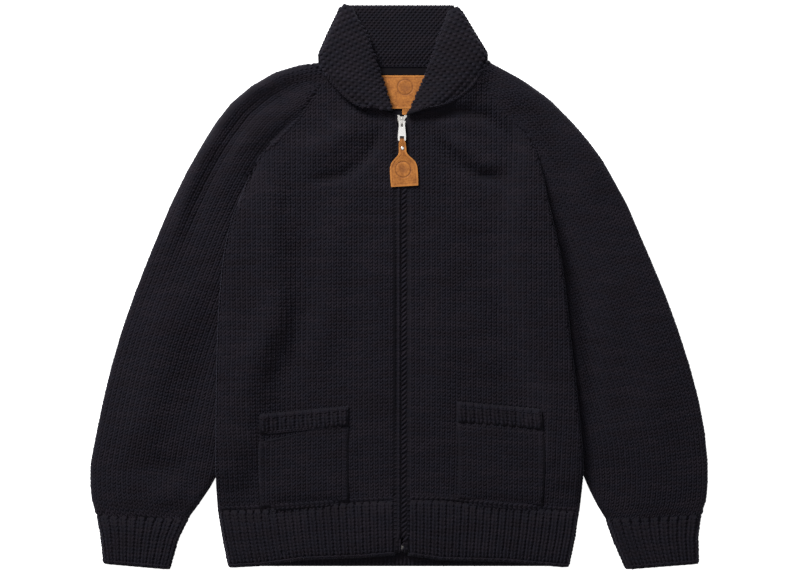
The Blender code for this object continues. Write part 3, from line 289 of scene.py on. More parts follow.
def stitch_object(name, paths, sides=4):
    """One stitch as a small mesh, to be set all over the cloth.

    It has one or more strands of yarn that bulge over the cloth, each given by stations of x, y,
    height and half width.
    """
    points, faces, uvs = [], [], []
    for path in np.array(paths):
        ahead = unit(np.gradient(path[:, :2], axis=0))
        for i, (x, y, height, half) in enumerate(path):
            for k in range(sides):
                angle = math.pi * k / (sides - 1)
                away = -math.cos(angle) * half
                top = height - YARN_DEPTH * 1.15 * (1 - math.sin(angle))
                points.append((x - ahead[i, 1] * away, y + ahead[i, 0] * away, top))
                uvs.append((k / (sides - 1), i / (len(path) - 1)))
                if i and k:
                    a = len(points) - sides - 2
                    faces.append((a, a + sides, a + sides + 1, a + 1))
    mesh = bpy.data.meshes.new(name)
    mesh.from_pydata(points, [], faces)
    layer = mesh.uv_layers.new(name="strand_uv")
    for loop in mesh.loops:
        layer.data[loop.index].uv = uvs[loop.vertex_index]
    work = bmesh.new()
    work.from_mesh(mesh)
    for face in work.faces:
        face.normal_update()
    if sum(face.normal.z * face.calc_area() for face in work.faces) < 0:
        bmesh.ops.reverse_faces(work, faces=work.faces)
    work.to_mesh(mesh)
    work.free()
    mesh.shade_smooth()
    made = placed(name, mesh)
    made.hide_render = True
    PATTERNS.append(made)
    return made


def knit_stitch(name, width, height, plain=False, spread=0.0):
    """A stocking stitch: two legs that rise from the stitch below and part towards the next.

    A plain one is of fewer faces, for the underside.  spread parts the legs, as in a rib.
    """
    legs = []
    for side in (-1, 1):
        low = (side * (0.03 + spread) * width, -0.80 * height, -0.0014, 0.06 * width)
        high = (side * (0.43 + 0.3 * spread) * width, 0.80 * height, -0.0014, 0.07 * width)
        if plain:
            legs.append([low, (side * (0.22 + 0.5 * spread) * width, 0.0, 0.0001, 0.225 * width), high])
        else:
            knee = (side * (0.12 + 0.8 * spread) * width, -0.34 * height, 0.0002, 0.215 * width)
            thigh = (side * (0.30 + 0.4 * spread) * width, 0.26 * height, 0.0, 0.205 * width)
            legs.append([low, knee, thigh, high])
    return stitch_object(name, legs, 3 if plain else 4)


def feed(tree, node, inputs):
    """Gives inputs of a node their values, or links them to the sockets given."""
    for key, value in inputs.items():
        if isinstance(value, bpy.types.NodeSocket):
            tree.links.new(value, node.inputs[key])
        else:
            node.inputs[key].default_value = value
    return node


def add(tree, kind, inputs=None, **settings):
    """A new node with its settings and its inputs."""
    node = tree.nodes.new(kind)
    for key, value in settings.items():
        setattr(node, key, value)
    return feed(tree, node, inputs or {})


def knitting_tree():
    """Geometry nodes that set one stitch at every point, turned to lie along its row."""
    tree = bpy.data.node_groups.new("hand_knitting", "GeometryNodeTree")
    kinds = {"Geometry": "Geometry", "Stitch": "Object", "Unevenness": "Float", "Seed": "Int"}
    kinds["Yarn"] = "Material"
    for name, kind in kinds.items():
        tree.interface.new_socket(name, in_out="INPUT", socket_type=f"NodeSocket{kind}")
    tree.interface.new_socket("Geometry", in_out="OUTPUT", socket_type="NodeSocketGeometry")
    given = add(tree, "NodeGroupInput").outputs

    def stored(name):
        kind = "GeometryNodeInputNamedAttribute"
        return add(tree, kind, {"Name": name}, data_type="FLOAT_VECTOR").outputs["Attribute"]

    def scatter(reach, offset):
        """Random vectors that grow with the unevenness."""
        seed = add(tree, "FunctionNodeIntegerMath", {0: given["Seed"], 1: offset}, operation="ADD").outputs[0]
        limits = {"Min": (-reach,) * 3, "Max": (reach,) * 3, "Seed": seed}
        drawn = add(tree, "FunctionNodeRandomValue", limits, data_type="FLOAT_VECTOR").outputs["Value"]
        scale = {0: drawn, "Scale": given["Unevenness"]}
        return add(tree, "ShaderNodeVectorMath", scale, operation="SCALE").outputs[0]

    axes = {"Primary Axis": stored("facing"), "Secondary Axis": stored("along")}
    lie = add(tree, "FunctionNodeAxesToRotation", axes, primary_axis="Z", secondary_axis="Y")
    tilt = add(tree, "FunctionNodeEulerToRotation", {"Euler": scatter(1.0, 11)})
    turns = {"Rotation": lie.outputs["Rotation"], "Rotate By": tilt.outputs["Rotation"]}
    turned = add(tree, "FunctionNodeRotateRotation", turns, rotation_space="LOCAL")
    size = add(tree, "ShaderNodeVectorMath", {0: stored("gauge"), 1: scatter(0.8, 23)}, operation="ADD")
    stitch = add(tree, "GeometryNodeObjectInfo", {"Object": given["Stitch"]})
    lot = {"Points": given["Geometry"], "Instance": stitch.outputs["Geometry"]}
    lot |= {"Rotation": turned.outputs["Rotation"], "Scale": size.outputs[0]}
    place = add(tree, "GeometryNodeInstanceOnPoints", lot)
    shade = add(tree, "FunctionNodeRandomValue", {"Seed": given["Seed"]}, data_type="FLOAT")
    kept = {"Name": "wool", "Geometry": place.outputs["Instances"], "Value": shade.outputs[1]}
    keep = add(tree, "GeometryNodeStoreNamedAttribute", kept, data_type="FLOAT", domain="INSTANCE")
    real = add(tree, "GeometryNodeRealizeInstances", {"Geometry": keep.outputs["Geometry"]})
    dyed = {"Geometry": real.outputs["Geometry"], "Material": given["Yarn"]}
    dye = add(tree, "GeometryNodeSetMaterial", dyed)
    add(tree, "NodeGroupOutput", {"Geometry": dye.outputs["Geometry"]})
    return tree


KNITTING = knitting_tree()


def stitches(name, places, facing, along, gauge, stitch, unevenness, seed):
    """A mesh of stitches at these places, each turned along its column."""
    mesh = bpy.data.meshes.new(name)
    mesh.from_pydata(places.tolist(), [], [])
    for key, values in (("facing", facing), ("along", along), ("gauge", gauge)):
        layer = mesh.attributes.new(key, "FLOAT_VECTOR", "POINT")
        layer.data.foreach_set("vector", np.ascontiguousarray(values, float).ravel())
    made = placed(name, mesh)
    maker = made.modifiers.new("knitting", "NODES")
    maker.node_group = KNITTING
    sockets = {s.name: s.identifier for s in KNITTING.interface.items_tree if s.in_out == "INPUT"}
    for key, value in (("Stitch", stitch), ("Unevenness", unevenness), ("Seed", seed), ("Yarn", WOOL)):
        maker[sockets[key]] = value
    graph = bpy.context.evaluated_depsgraph_get()
    plain = bpy.data.meshes.new_from_object(made.evaluated_get(graph))
    made.modifiers.clear()
    made.data = plain
    plain.name = name
    spots = np.empty(len(plain.vertices) * 3)
    plain.vertices.foreach_get("co", spots)
    spots[2::3] = np.maximum(spots[2::3], 0.0)  # the cloth's own weight flattens it on the surface
    plain.vertices.foreach_set("co", spots)
    plain.shade_smooth()
    plain.update()
    for spare in ("facing", "along", "gauge"):
        if spare in plain.attributes:
            plain.attributes.remove(plain.attributes[spare])
    return made


def knitted(name, grid, stitch, width=WALE, height=COURSE, seed=1):
    """Stitches over a grid of places with gaps, each as large as the distances to its neighbours say."""
    here = ~np.isnan(grid[..., 0])
    up, out = spans(grid, 0), spans(grid, 1)
    up_size = np.linalg.norm(up, axis=-1) / height
    out_size = np.linalg.norm(out, axis=-1) / width
    gauge = np.stack([out_size, up_size, np.ones_like(up_size)], -1)
    gauge = np.clip(np.where(np.isnan(gauge), 1.0, gauge), 0.8, 1.25)
    up = np.where(np.isnan(up), [0.0, 1.0, 0.0], up)
    spots = grid[here]
    return stitches(name, spots[:, :3], unit(spots[:, 3:]), unit(up[here]), gauge[here], stitch, 0.09, seed)


def new_material(name):
    """A new material, its nodes and its shader."""
    made = bpy.data.materials.new(name)
    made.use_nodes = True
    return made, made.node_tree, made.node_tree.nodes["Principled BSDF"]


def wool(name="wool", depth=1.0):
    """Bulky six-ply wool: near-black, matt, with paler fibres that catch the light. depth scales its colour
    down, for the copy darkened as painted shade.
    """
    made, tree, shader = new_material(name)
    feed(tree, shader, {"Roughness": 0.82, "Specular IOR Level": 0.12})
    feed(tree, shader, {"Sheen Weight": 0.08, "Sheen Roughness": 0.45, "Sheen Tint": (0.55, 0.55, 0.75, 1.0)})
    where = add(tree, "ShaderNodeTexCoord").outputs["Object"]
    drawn = add(tree, "ShaderNodeVectorMath", {0: where, 1: (0.3, 1.2, 1.0)}, operation="MULTIPLY")
    patch = add(tree, "ShaderNodeTexNoise", {"Scale": 60.0, "Detail": 4.0, "Vector": drawn.outputs[0]})
    fibre = add(tree, "ShaderNodeTexNoise", {"Scale": 1400.0, "Detail": 2.0, "Vector": where})
    colour = add(tree, "ShaderNodeValToRGB", {"Fac": patch.outputs["Fac"]})
    dyes = (
        (0.15, (0.0036, 0.0030, 0.0054)), (0.40, (0.0062, 0.0043, 0.0074)), (0.50, (0.0052, 0.0046, 0.0086)),
        (0.60, (0.0076, 0.0055, 0.0090)), (0.85, (0.0080, 0.0068, 0.0118)),
    )
    for position, dye in dyes[1:-1]:
        colour.color_ramp.elements.new(position)
    for element, (position, dye) in zip(colour.color_ramp.elements, dyes):
        element.position = position
        element.color = (*dye, 1.0)
    own = add(tree, "ShaderNodeAttribute", attribute_name="wool").outputs["Fac"]
    vary = add(tree, "ShaderNodeMapRange", {"Value": own, "To Min": 0.9 * depth, "To Max": 1.12 * depth})
    tints = {0: colour.outputs["Color"], "Scale": vary.outputs["Result"]}
    tinted = add(tree, "ShaderNodeVectorMath", tints, operation="SCALE")
    bump = add(tree, "ShaderNodeBump", {"Distance": 0.0004, "Strength": 0.6, "Height": fibre.outputs["Fac"]})
    feed(tree, shader, {"Base Color": tinted.outputs[0], "Normal": bump.outputs["Normal"]})
    return made


WOOL = wool()
# The cloth under the stitches gets this copy, darkened to three quarters: painted shade for the deep yarn
# between stitches.
SHADED_WOOL = wool("wool_in_painted_shade", 0.75)


def lowest_y(points):
    """Height of a place in knitting with straight rows."""
    return points[:, 1]


def middle(line, along):
    """Counts the stitches of a row from the middle of the garment."""
    return np.interp(0.0, line[:, 0], along)


HEM_X = (-0.250, -0.229, -0.192, -0.132, -0.052, 0.005, 0.060, 0.145, 0.225, 0.250)
HEM_TOP = (-0.308, -0.307, -0.306, -0.301, -0.296, -0.293, -0.294, -0.302, -0.308, -0.309)


def bow(points):
    """Height of a place in its knitting: rows bow up towards the zip, most of all at the hem."""
    x, y = points[:, 0], points[:, 1]
    share = np.clip((0.10 - y) / 0.25, 0, 1)
    return y - (np.interp(x, HEM_X, HEM_TOP) + 0.308) * share * share * (3 - 2 * share)


def drawn_in(line):
    """The ribs below draw the lowest stitches together."""
    return 1 - 0.045 * np.clip((-0.16 - line[:, 1].mean()) / 0.15, 0, 1) ** 1.5


def worn(node, cloth, pieces):
    """Gives a knitted piece's cloth its wool, sets the piece in the garment's body, and hides the wall of the
    solid model that it stands for.
    """
    # The cloth gets the darker wool, as painted shade between the stitches.
    cloth.data.materials.append(SHADED_WOOL)
    for piece in (cloth, *pieces):
        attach(piece, "garment")
    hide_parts(node)


def edge_chain(name, line, away, stitch, pitch, lean=0.7, inset=0.0):
    """A chain of stitches along the edge of a piece, turned a little over it."""
    along = lengths_along(line)
    count = max(2, round(along[-1] / pitch))
    spots = (np.arange(count) + 0.5) * along[-1] / count
    places = read((along, line), spots)
    outward = unit(np.array([np.interp(spots, along, away[:, i]) for i in range(3)]).T)
    ahead = unit(np.gradient(places[:, :3], axis=0))
    facing = unit(unit(places[:, 3:]) + lean * outward)
    spots = places[:, :3] - inset * outward
    gauge = np.ones_like(spots) * (1.0, along[-1] / count / pitch, 1.0)
    return stitches(name, spots, facing, ahead, gauge, stitch, 0.05, 31)


flat_stitch = knit_stitch("flat_stitch", WALE, COURSE, plain=True)
MIDDLE = {"start": lambda p: p[0], "zero": middle}
rows = courses("back", lowest_y, -1, **MIDDLE)
cloth = cloth_mesh("back_cloth", rows, 40)
places = stitch_places(rows, draw=drawn_in)
worn("back", cloth, [knitted("back_stitches", places, flat_stitch, seed=3)])

# ---- fronts
# Each front is a panel of stocking stitch, knitted up from its hem ribs, with its wales in line with
# the zip.  It lies on the back, climbs over the sleeve that is folded under it, and turns down at
# the side.
SIDES = {"right": -1.0, "left": 1.0}
BAND_EDGE = {"right": 0.0076, "left": 0.0146}
knit = knit_stitch("knit", WALE, COURSE)
seam_stitch = knit_stitch("seam_stitch", 0.0100, COURSE)


def from_band(side):
    """Counts the stitches of a row from the edge of that side's front band."""
    return lambda line, along: BAND_EDGE[side] - SIDES[side] * line[0, 0]


def from_inside(side):
    """Puts the end of a row that is nearer the zip first."""
    return lambda p: SIDES[side] * p[0]


def edge_line(edge, within, columns=80):
    """A row at the edge of a piece, and the way out of the piece from each place on it."""
    line, inner = (read(row, np.linspace(row[0][0], row[0][-1], columns)) for row in (edge, within))
    return line, line[:, :3] - inner[:, :3]


def low_edge(rows, columns=80):
    """The lowest line of a piece, and the way out from it."""
    return edge_line(rows[1], rows[5], columns)


def turned_edge(rows, inward):
    """A line this far in from the outer ends of the rows, and the way out from it."""
    line = np.array([read(row, row[0][-1] - inward) for row in rows])
    return line, np.array([row[1][-1, :3] - row[1][-2, :3] for row in rows])


RAGLAN_INSET = {"right": -0.0010, "left": -0.0030}  # how far in from the seam's line its stitches are
FRONT_FOLDS = {
    "right": [
        (7.5, -4.5, (-150, 141), (-112, 146), (-78, 152), (-52, 170), (-36, 193), (-18, 235)),
        (20, 6, (-145, 178), (-100, 190), (-70, 215), (-60, 250)),
        (7, -4, (-85, 268), (-45, 238), (-8, 224)),
        (20, -2.2, (-112, 20), (-135, -50), (-152, -100), (-178, -140), (-188, -210)),
        (22, 3.4, (-150, 10), (-172, -60), (-200, -120), (-215, -180)),
        (12, -3, (-150, 150), (-158, 90), (-146, 20)),
        (28, 4.5, (-85, 110), (-98, 0), (-115, -120)),
        (30, 3, (-30, 110), (-30, -60), (-30, -240)),
        (6, 2.8, (-66, -190), (-66, -292)),
        (6, 1.2, (-189, -303), (-68.5, -295)),
    ],
    "left": [
        (7, -7, (42, 210), (66, 187), (86, 165), (108, 152), (152, 144)),
        (13, 6.6, (62, 212), (86, 190), (112, 171), (150, 160)),
        (8, -7, (20, 230), (75, 238), (120, 234), (150, 212), (168, 160)),
        (18, -4, (112, 0), (148, -70), (180, -120), (208, -170)),
        (25, 4, (80, -20), (100, -80), (140, -130)),
        (30, 3, (50, 120), (60, 0), (50, -240)),
        (12, 6, (55, 245), (85, 258), (108, 285), (122, 315)),
        (6, 2.8, (204, -190), (204, -300)),
        (6, 2, (80, -293), (201, -304)),
    ],
}
for side, area in (("right", 0.125), ("left", 0.118)):
    node = f"front_{side}"
    rows = courses(node, bow, 1, start=from_inside(side), zero=from_band(side))
    rows = creased(rows, FRONT_FOLDS[side])
    cloth = cloth_mesh(f"{node}_cloth", rows, 48, every=3, reach=0.0030, tail=0.004)
    places = stitch_places(rows, draw=drawn_in)
    stitched = knitted(f"{node}_stitches", places, knit, seed=5 if side == "right" else 6)
    seam = turned_edge([row for row in rows[::2] if 0.110 < row[1][:, 1].mean() < 0.262], 0.0016)
    raglan = edge_chain(f"{node}_raglan", *seam, seam_stitch, COURSE, 0.2, RAGLAN_INSET[side])
    lowest = edge_chain(f"{node}_lowest", *low_edge(rows, 60), seam_stitch, 0.0068, 0.3, inset=-0.0022)
    turned = turned_edge([row for row in rows[::2] if -0.300 < row[1][-1, 1] < 0.112], 0.0008)
    folded = edge_chain(f"{node}_side", *turned, knit, COURSE, 0.8, 0.0004)
    worn(node, cloth, [stitched, raglan, lowest, folded])

# ---- sleeves
# A raglan sleeve is knitted as one piece and sewn along the underarm.  Laid flat it is a tube with a
# fold down its outer side.  Its rows fan out, since it is longer along the outside of the arm.
ROW_FAN = {"right": (1.090, -0.469, 1.495), "left": (-0.826, -0.391, 1.220)}


def fan(side, centres):
    """Height of a place in knitting whose rows all point at one centre, at their distance from it."""
    x, y, distance = centres[side]

    def at(points):
        return distance * np.arctan2(points[:, 1] - y, SIDES[side] * (points[:, 0] - x))

    return at


SLEEVE_FOLDS = {
    "right": [
        (9, -4.8, (-78, 288), (-110, 283), (-150, 272), (-193, 248), (-225, 214), (-252, 166), (-272, 125),
         (-288, 75), (-305, 10)),
        (10, 5, (-80, 303), (-110, 301), (-150, 292), (-205, 266), (-242, 226), (-270, 176), (-290, 130),
         (-308, 80), (-330, 10)),
        (22, 5, (-150, 252), (-200, 215), (-225, 165), (-255, 95)),
        (7, -2.2, (-120, 256), (-153, 222), (-190, 181), (-216, 134)),
        (26, -4.5, (-245, 20), (-262, -60), (-272, -120), (-280, -220)),
        (35, 6.5, (-300, 30), (-330, -80), (-345, -180), (-350, -270)),
        (14, -2.8, (-345, -235), (-310, -250), (-285, -225)),
        (14, 3, (-350, -280), (-315, -288), (-290, -265)),
    ],
    "left": [
        (12, -4, (135, 265), (185, 228), (215, 185), (245, 120)),
        (18, 4.5, (120, 287), (180, 258), (225, 215), (262, 160), (290, 100)),
        (32, 5.5, (280, 80), (330, -40), (355, -150), (360, -250)),
        (20, 3, (250, 120), (272, 50), (290, -20), (305, -120)),
        (6, 5, (187, 150), (200, 118), (234, -19), (253.5, -150), (259, -215)),
        (14, -5.5, (196, 150), (213, 118), (248, -19), (268, -150), (273, -215)),
        (12, 6, (85, 258), (108, 285), (122, 315)),
        (20, 3.5, (290, -170), (330, -235), (375, -260)),
    ],
}


def to_fold(side):
    """Counts the stitches of a row from the outer fold, where the row is furthest from its centre."""

    def at(line, along):
        close = np.arange(along[0], along[-1], 0.0005)
        away = np.hypot(*(np.interp(close, along, line[:, i]) - ROW_FAN[side][i] for i in range(2)))
        weight = np.exp((away - away.max()) / 0.001)
        return (close * weight).sum() / weight.sum()

    return at


for side in SIDES:
    node = f"sleeve_{side}"
    rows = courses(node, fan(side, ROW_FAN), 0, start=lambda p: -p[2], zero=to_fold(side))
    rows = creased(rows, SLEEVE_FOLDS[side])
    widths = [row[0][-1] - row[0][0] for row in rows]
    whole = next(i for i, width in enumerate(widths) if width > 0.8 * widths[16])  # the first whole row
    cloth = cloth_mesh(f"{node}_cloth", rows[whole:], 64, reach=0.0026, tail=0.0060)
    places = stitch_places(rows, margin=-0.25)
    on_top = places[..., 5:] > -0.2
    upper = knitted(f"{node}_stitches", np.where(on_top, places, np.nan), knit, seed=8)
    lower = knitted(f"{node}_under_stitches", np.where(on_top, np.nan, places), flat_stitch, seed=9)
    worn(node, cloth, [upper, lower])

# ---- hems and cuffs
# The hem and the cuffs are knit-one, purl-one ribs, that end in a chain where they are cast off.  A
# rib's knit columns stand up and its purl columns sink between them.
RIB = 0.0108  # one knit and one purl column of the hem
HEM_SIDE = 0.0059  # from the last whole rib of a front's hem to its outer side
CUFF_SIDES = (0.0061, 0.0062)  # from a cuff's inner and outer folds to its nearest whole ribs
rib_stitch = stitch_object(
    "rib_stitch",
    [
        [(s * 0.0017, -0.80 * COURSE, -0.0014, 0.0010), (s * 0.0021, -0.30 * COURSE, 0.0000, 0.0017),
         (s * 0.0029, 0.30 * COURSE, -0.0001, 0.0017), (s * 0.0034, 0.80 * COURSE, -0.0015, 0.0010)]
        for s in (-1, 1)
    ],
)
purl_stitch = stitch_object(
    "purl_stitch",
    [[(-0.0026, -0.0006, -0.0010, 0.0010), (0.0, 0.0004, 0.0004, 0.0016),
      (0.0026, -0.0006, -0.0010, 0.0010)]],
    3,
)
cast_off = knit_stitch("cast_off", 0.0046, 0.0044)


def between(low, high, length):
    """Height of a place between two lines across a piece, each given by two of its points."""

    def height_on(line, x):
        (x0, y0), (x1, y1) = line
        return y0 + (y1 - y0) * (x - x0) / (x1 - x0)

    def at(points):
        bottom, top = height_on(low, points[:, 0]), height_on(high, points[:, 0])
        return (points[:, 1] - bottom) / (top - bottom) * length

    return at


HEM_LOW = (-0.382, -0.382, -0.380, -0.372, -0.369, -0.364, -0.372, -0.374, -0.381, -0.381)


def hem_height(points):
    """Height of a place above the cast-off edge of a front's hem."""
    x, y = points[:, 0], points[:, 1]
    low, top = np.interp(x, HEM_X, HEM_LOW), np.interp(x, HEM_X, HEM_TOP)
    return (y - low) / (top - low) * 0.074


def ribbed(node, rows, starts, ends, count, seed, before=0, beyond=0):
    """The knit and the purl columns of a rib, on its ridges and in its valleys."""
    ridges, valleys = (np.full((len(rows[1::2]), before + count + beyond, 6), np.nan) for _ in range(2))
    for i, (row, start, end) in enumerate(zip(rows[1::2], starts[1::2], ends[1::2])):
        step = (end - start) / count
        for k in range(-before, count + beyond):
            for grid, share in ((ridges, 0.5), (valleys, 1.0)):
                distance = start + (k + share) * step
                if row[0][0] <= distance < row[0][-1] - 0.25 * step:
                    grid[i, k + before] = read(row, distance)
    return [
        knitted(f"{node}_knit", ridges, rib_stitch, RIB, seed=seed),
        knitted(f"{node}_purl", valleys, purl_stitch, RIB, seed=seed + 1),
    ]


for side in SIDES:
    node = f"hem_{side}"
    every_row = courses(node, hem_height, 1, start=from_inside(side))
    rows = every_row[1:-1]
    ends = []
    for along, line in rows:
        reach = np.abs(line[:, 0])
        ends.append(np.interp(reach.max() - HEM_SIDE, reach, along))
    cloth = cloth_mesh(f"{node}_cloth", rows, 120, rounds=0, every=6, reach=0.0032, tail=0.0030)
    pieces = ribbed(node, rows, [row[0][0] for row in rows], ends, 22, 12, beyond=1)
    pieces.append(edge_chain(f"{node}_cast_off", *low_edge(every_row), cast_off, 0.0038, 0.5, -0.0036))
    worn(node, cloth, pieces)

rows = courses("hem_back", lowest_y, -1, **MIDDLE)
cloth = cloth_mesh("hem_back_cloth", rows, 60, rounds=0, every=6)
pieces = [
    knitted("hem_back_knit", stitch_places(rows, RIB, rounds=0), flat_stitch, RIB, seed=14),
    edge_chain("hem_back_cast_off", *low_edge(rows), cast_off, 0.0040),
]
rows = courses("hem_back", lowest_y, 1, **MIDDLE)
rows = [row for row in rows if row[1][0, 1] < -0.34]  # what shows below the fronts' hems
inside = stitch_places(rows, RIB, rounds=0)
inside[np.abs(inside[..., 0]) > 0.235] = np.nan
pieces.append(knitted("hem_back_inside", inside, rib_stitch, RIB, seed=18))
worn("hem_back", cloth, pieces)

CUFF_LOW = {"right": ((-0.406, -0.379), (-0.314, -0.387)), "left": ((0.412, -0.379), (0.311, -0.387))}
CUFF_TOP = {
    "right": ((-0.4157, -0.3134), (-0.2902, -0.3194)),
    "left": ((0.4157, -0.3134), (0.2842, -0.3194)),
}
for side, sign in SIDES.items():
    node = f"cuff_{side}"
    rows = courses(node, between(CUFF_LOW[side], CUFF_TOP[side], 0.067), 0, start=lambda p: -p[2])
    starts, ends = [], []
    for along, line in rows:
        away = sign * line[:, 0]
        upper = np.arange(len(away)) <= np.argmax(away)
        starts.append(np.interp(away.min() + CUFF_SIDES[0], away[upper], along[upper]))
        ends.append(np.interp(away.max() - CUFF_SIDES[1], away[upper], along[upper]))
    cloth = cloth_mesh(f"{node}_cloth", rows, 120, rounds=0, every=6)
    pieces = ribbed(node, rows, starts, ends, 9, 15, 1, 11)
    pieces.append(edge_chain(f"{node}_cast_off", *low_edge(rows), cast_off, 0.0038, 0.5, -0.0014))
    worn(node, cloth, pieces)

# ---- front bands
# Each front has a narrow edging, picked up along it and cast off at the zip, that the zip is sewn
# behind.  The right one ends in a smooth chain, and the left one in a row of slanting stitches.
chain_stitch = stitch_object(
    "chain_stitch",
    [[(0.0, -0.0044, -0.0004, 0.0010), (0.0, -0.0017, 0.0008, 0.0017), (0.0, 0.0017, 0.0008, 0.0017),
      (0.0, 0.0044, -0.0004, 0.0010)]],
)
slant_stitch = stitch_object(
    "slant_stitch",
    [[(-0.0038, -0.0040, -0.0010, 0.0008), (-0.0014, -0.0015, 0.0007, 0.0016),
      (0.0014, 0.0015, 0.0007, 0.0016), (0.0038, 0.0040, -0.0010, 0.0008)]],
)
BANDS = {"right": (chain_stitch, 0.0044, 0.0056), "left": (slant_stitch, 0.0034, 0.0067)}
PURL_COLUMN = 0.0088  # how far across the band its purl column is
BAND_WALE = 0.0048  # width of one stitch of the bands
for side, (stitch, column, pitch) in BANDS.items():
    node = f"band_{side}"
    rows = courses(node, lowest_y, 1, start=from_inside(side), pitch=pitch)
    for _, line in rows:
        line[:, 3:] = (0.0, 0.0, 1.0)
    cloth = cloth_mesh(f"{node}_cloth", rows, 8, depth=0.0012)
    grid, purled = (np.array([[read(row, d)] for row in rows[1::2]]) for d in (column, PURL_COLUMN))
    pieces = [
        knitted(f"{node}_stitches", grid, stitch, BAND_WALE, pitch, seed=17),
        knitted(f"{node}_purl", purled, purl_stitch, BAND_WALE, pitch, seed=19),
    ]
    worn(node, cloth, pieces)

# ---- pockets
# Patch pockets in the same stocking stitch, finished with a ribbed welt and sewn down on three
# sides, so that the welt stands open.
WELT_LOW = {"right": ((-0.0728, -0.1894), (-0.1867, -0.2000)), "left": ((0.0827, -0.1844), (0.1928, -0.1940))}
WELT_TOP = {"right": ((-0.0728, -0.1650), (-0.1867, -0.1756)), "left": ((0.0827, -0.1590), (0.1928, -0.1690))}
SEWN_DOWN = {
    "right": [(11, -2.8, (-195, -304), (-62, -296))],
    "left": [(11, -2.8, (74, -294), (207, -305))],
}
POCKET_EDGE = 0.0022  # from a pocket's edge to the middle of the stitches along it
for side in SIDES:
    node = f"pocket_{side}"
    rows = courses(node, bow, 1, start=from_inside(side), zero=from_band(side))
    rows = creased(rows, SEWN_DOWN[side])
    cloth = cloth_mesh(f"{node}_cloth", rows, 20)
    pieces = [knitted(f"{node}_stitches", stitch_places(rows), knit, seed=20)]
    for end, inward in ((0, POCKET_EDGE), (-1, -POCKET_EDGE)):
        line = np.array([read(row, row[0][end] + inward) for row in rows])
        outward = np.array([row[1][end, :3] - read(row, row[0][end] + inward)[:3] for row in rows])
        name = f"{node}_{'inner' if end == 0 else 'outer'}_edge"
        pieces.append(edge_chain(name, line, outward, cast_off, 0.0044, 0.15))
        line[:, :3] += 0.0024 * unit(outward) - (0.0, 0.0, 0.0018)
        pieces.append(edge_chain(f"{name}_side", line, outward, cast_off, 0.0048, 0.9))
    line, outward = low_edge(rows)
    line[:, :3] += 0.0030 * unit(outward) - (0.0, 0.0, 0.0014)
    pieces.append(edge_chain(f"{node}_low_edge", line, outward, cast_off, 0.0044, 0.9))
    worn(node, cloth, pieces)
    node = f"welt_{side}"
    rows = courses(node, between(WELT_LOW[side], WELT_TOP[side], 0.024), 1, start=from_inside(side))
    cloth = cloth_mesh(f"{node}_cloth", rows, 60, rounds=0)
    pieces = ribbed(node, rows, [row[0][0] for row in rows], [row[0][-1] for row in rows], 10, 22)
    mouth = edge_line(rows[-2], rows[-6], 60)
    pieces.append(edge_chain(f"{node}_cast_off", *mouth, cast_off, 0.0042, 0.35))
    worn(node, cloth, pieces)

# ---- collar
# The shawl collar is knitted in moss stitch, one piece round the neck in the real garment.  It is
# folded over once: its stand is inside and its fall outside, with a chain edge along the outline.
def moss(name, width, height, slant):
    """A bump of moss stitch, where the yarn lies across the column, and higher at one end."""
    w, h = 0.5 * width, 0.5 * height
    path = [(-w, -slant * w, -0.0018, 0.45 * h), (-0.42 * w, -0.42 * slant * w, 0.0002, 0.95 * h),
            (0.42 * w, 0.42 * slant * w, 0.0002, 0.95 * h), (w, slant * w, -0.0018, 0.45 * h)]
    return stitch_object(name, [path])


def to_arc(side):
    """Counts the stitches of a row from an arc round the centre that the rows point at."""
    x, y, distance = COLLAR_FAN[side]

    def at(line, along):
        upper = line[:, 5] > 0.3
        away = np.hypot(line[upper, 0] - x, line[upper, 1] - y)
        return np.mean(along[upper] - away) + distance

    return at


FALL_WALE, FALL_COURSE = 0.0104, 0.0050  # width of two columns of the fall, and height of its rows
STAND_WALE, STAND_COURSE = 0.0063, 0.0036
fall_stitch = moss("fall_stitch", 0.0066, FALL_COURSE, -0.40)
stand_stitch = moss("stand_stitch", 0.0041, 0.0034, 0.6)
COLLAR_FAN = {"right": (0.233, 0.251, 0.314), "left": (-0.212, 0.249, 0.298)}
for side in SIDES:
    node = f"collar_{side}"
    level, zero = fan(side, COLLAR_FAN), to_arc(side)
    rows = courses(node, level, 0, start=lambda p: p[2], zero=zero, pitch=FALL_COURSE, folded=True)[:-2]
    cloth = cloth_mesh(f"{node}_cloth", rows, 44)
    places = stitch_places(rows, FALL_WALE, half_drop=True)
    places[places[..., 5] < -0.5] = np.nan
    outline = np.array([row[1][-1] for row in rows[2:-2]])
    outward = np.array([row[1][-1, :3] - row[1][-3, :3] for row in rows[2:-2]])
    pieces = [
        knitted(f"{node}_stitches", places, fall_stitch, FALL_WALE, FALL_COURSE, seed=24),
        edge_chain(f"{node}_edge", outline, outward, cast_off, 0.0050, 0.5, 0.0006),
    ]
    worn(node, cloth, pieces)

FOLD_Y, FOLD_RADIUS = 0.3823, 0.0049  # the fold along the collar's top


def round_the_fold(points):
    """Distance up the stand, over the fold along the collar's top, and down the fall beneath."""
    y, z = points[:, 1] - FOLD_Y, points[:, 2] - FOLD_RADIUS
    turn = FOLD_RADIUS * (math.pi / 2 - np.arctan2(z, y))
    return np.where(y > 0, turn, np.where(z > 0, y, FOLD_RADIUS * math.pi - y))


rows = courses("collar_back", round_the_fold, 0, **MIDDLE, pitch=STAND_COURSE, folded=True)
cloth = cloth_mesh("collar_back_cloth", rows, 36, rounds=0, every=2)
places = stitch_places(rows, STAND_WALE, half_drop=True)
pieces = [knitted("collar_back_stitches", places, stand_stitch, STAND_WALE, STAND_COURSE, seed=26)]
seam = read(rows[1], np.linspace(-0.072, 0.072, 40))
down = seam[:, :3] * 0 + (0.0, -1.0, 0.0)
pieces.append(edge_chain("neck_seam", seam, down, cast_off, 0.0052, 0.0, -0.0022))
worn("collar_back", cloth, pieces)

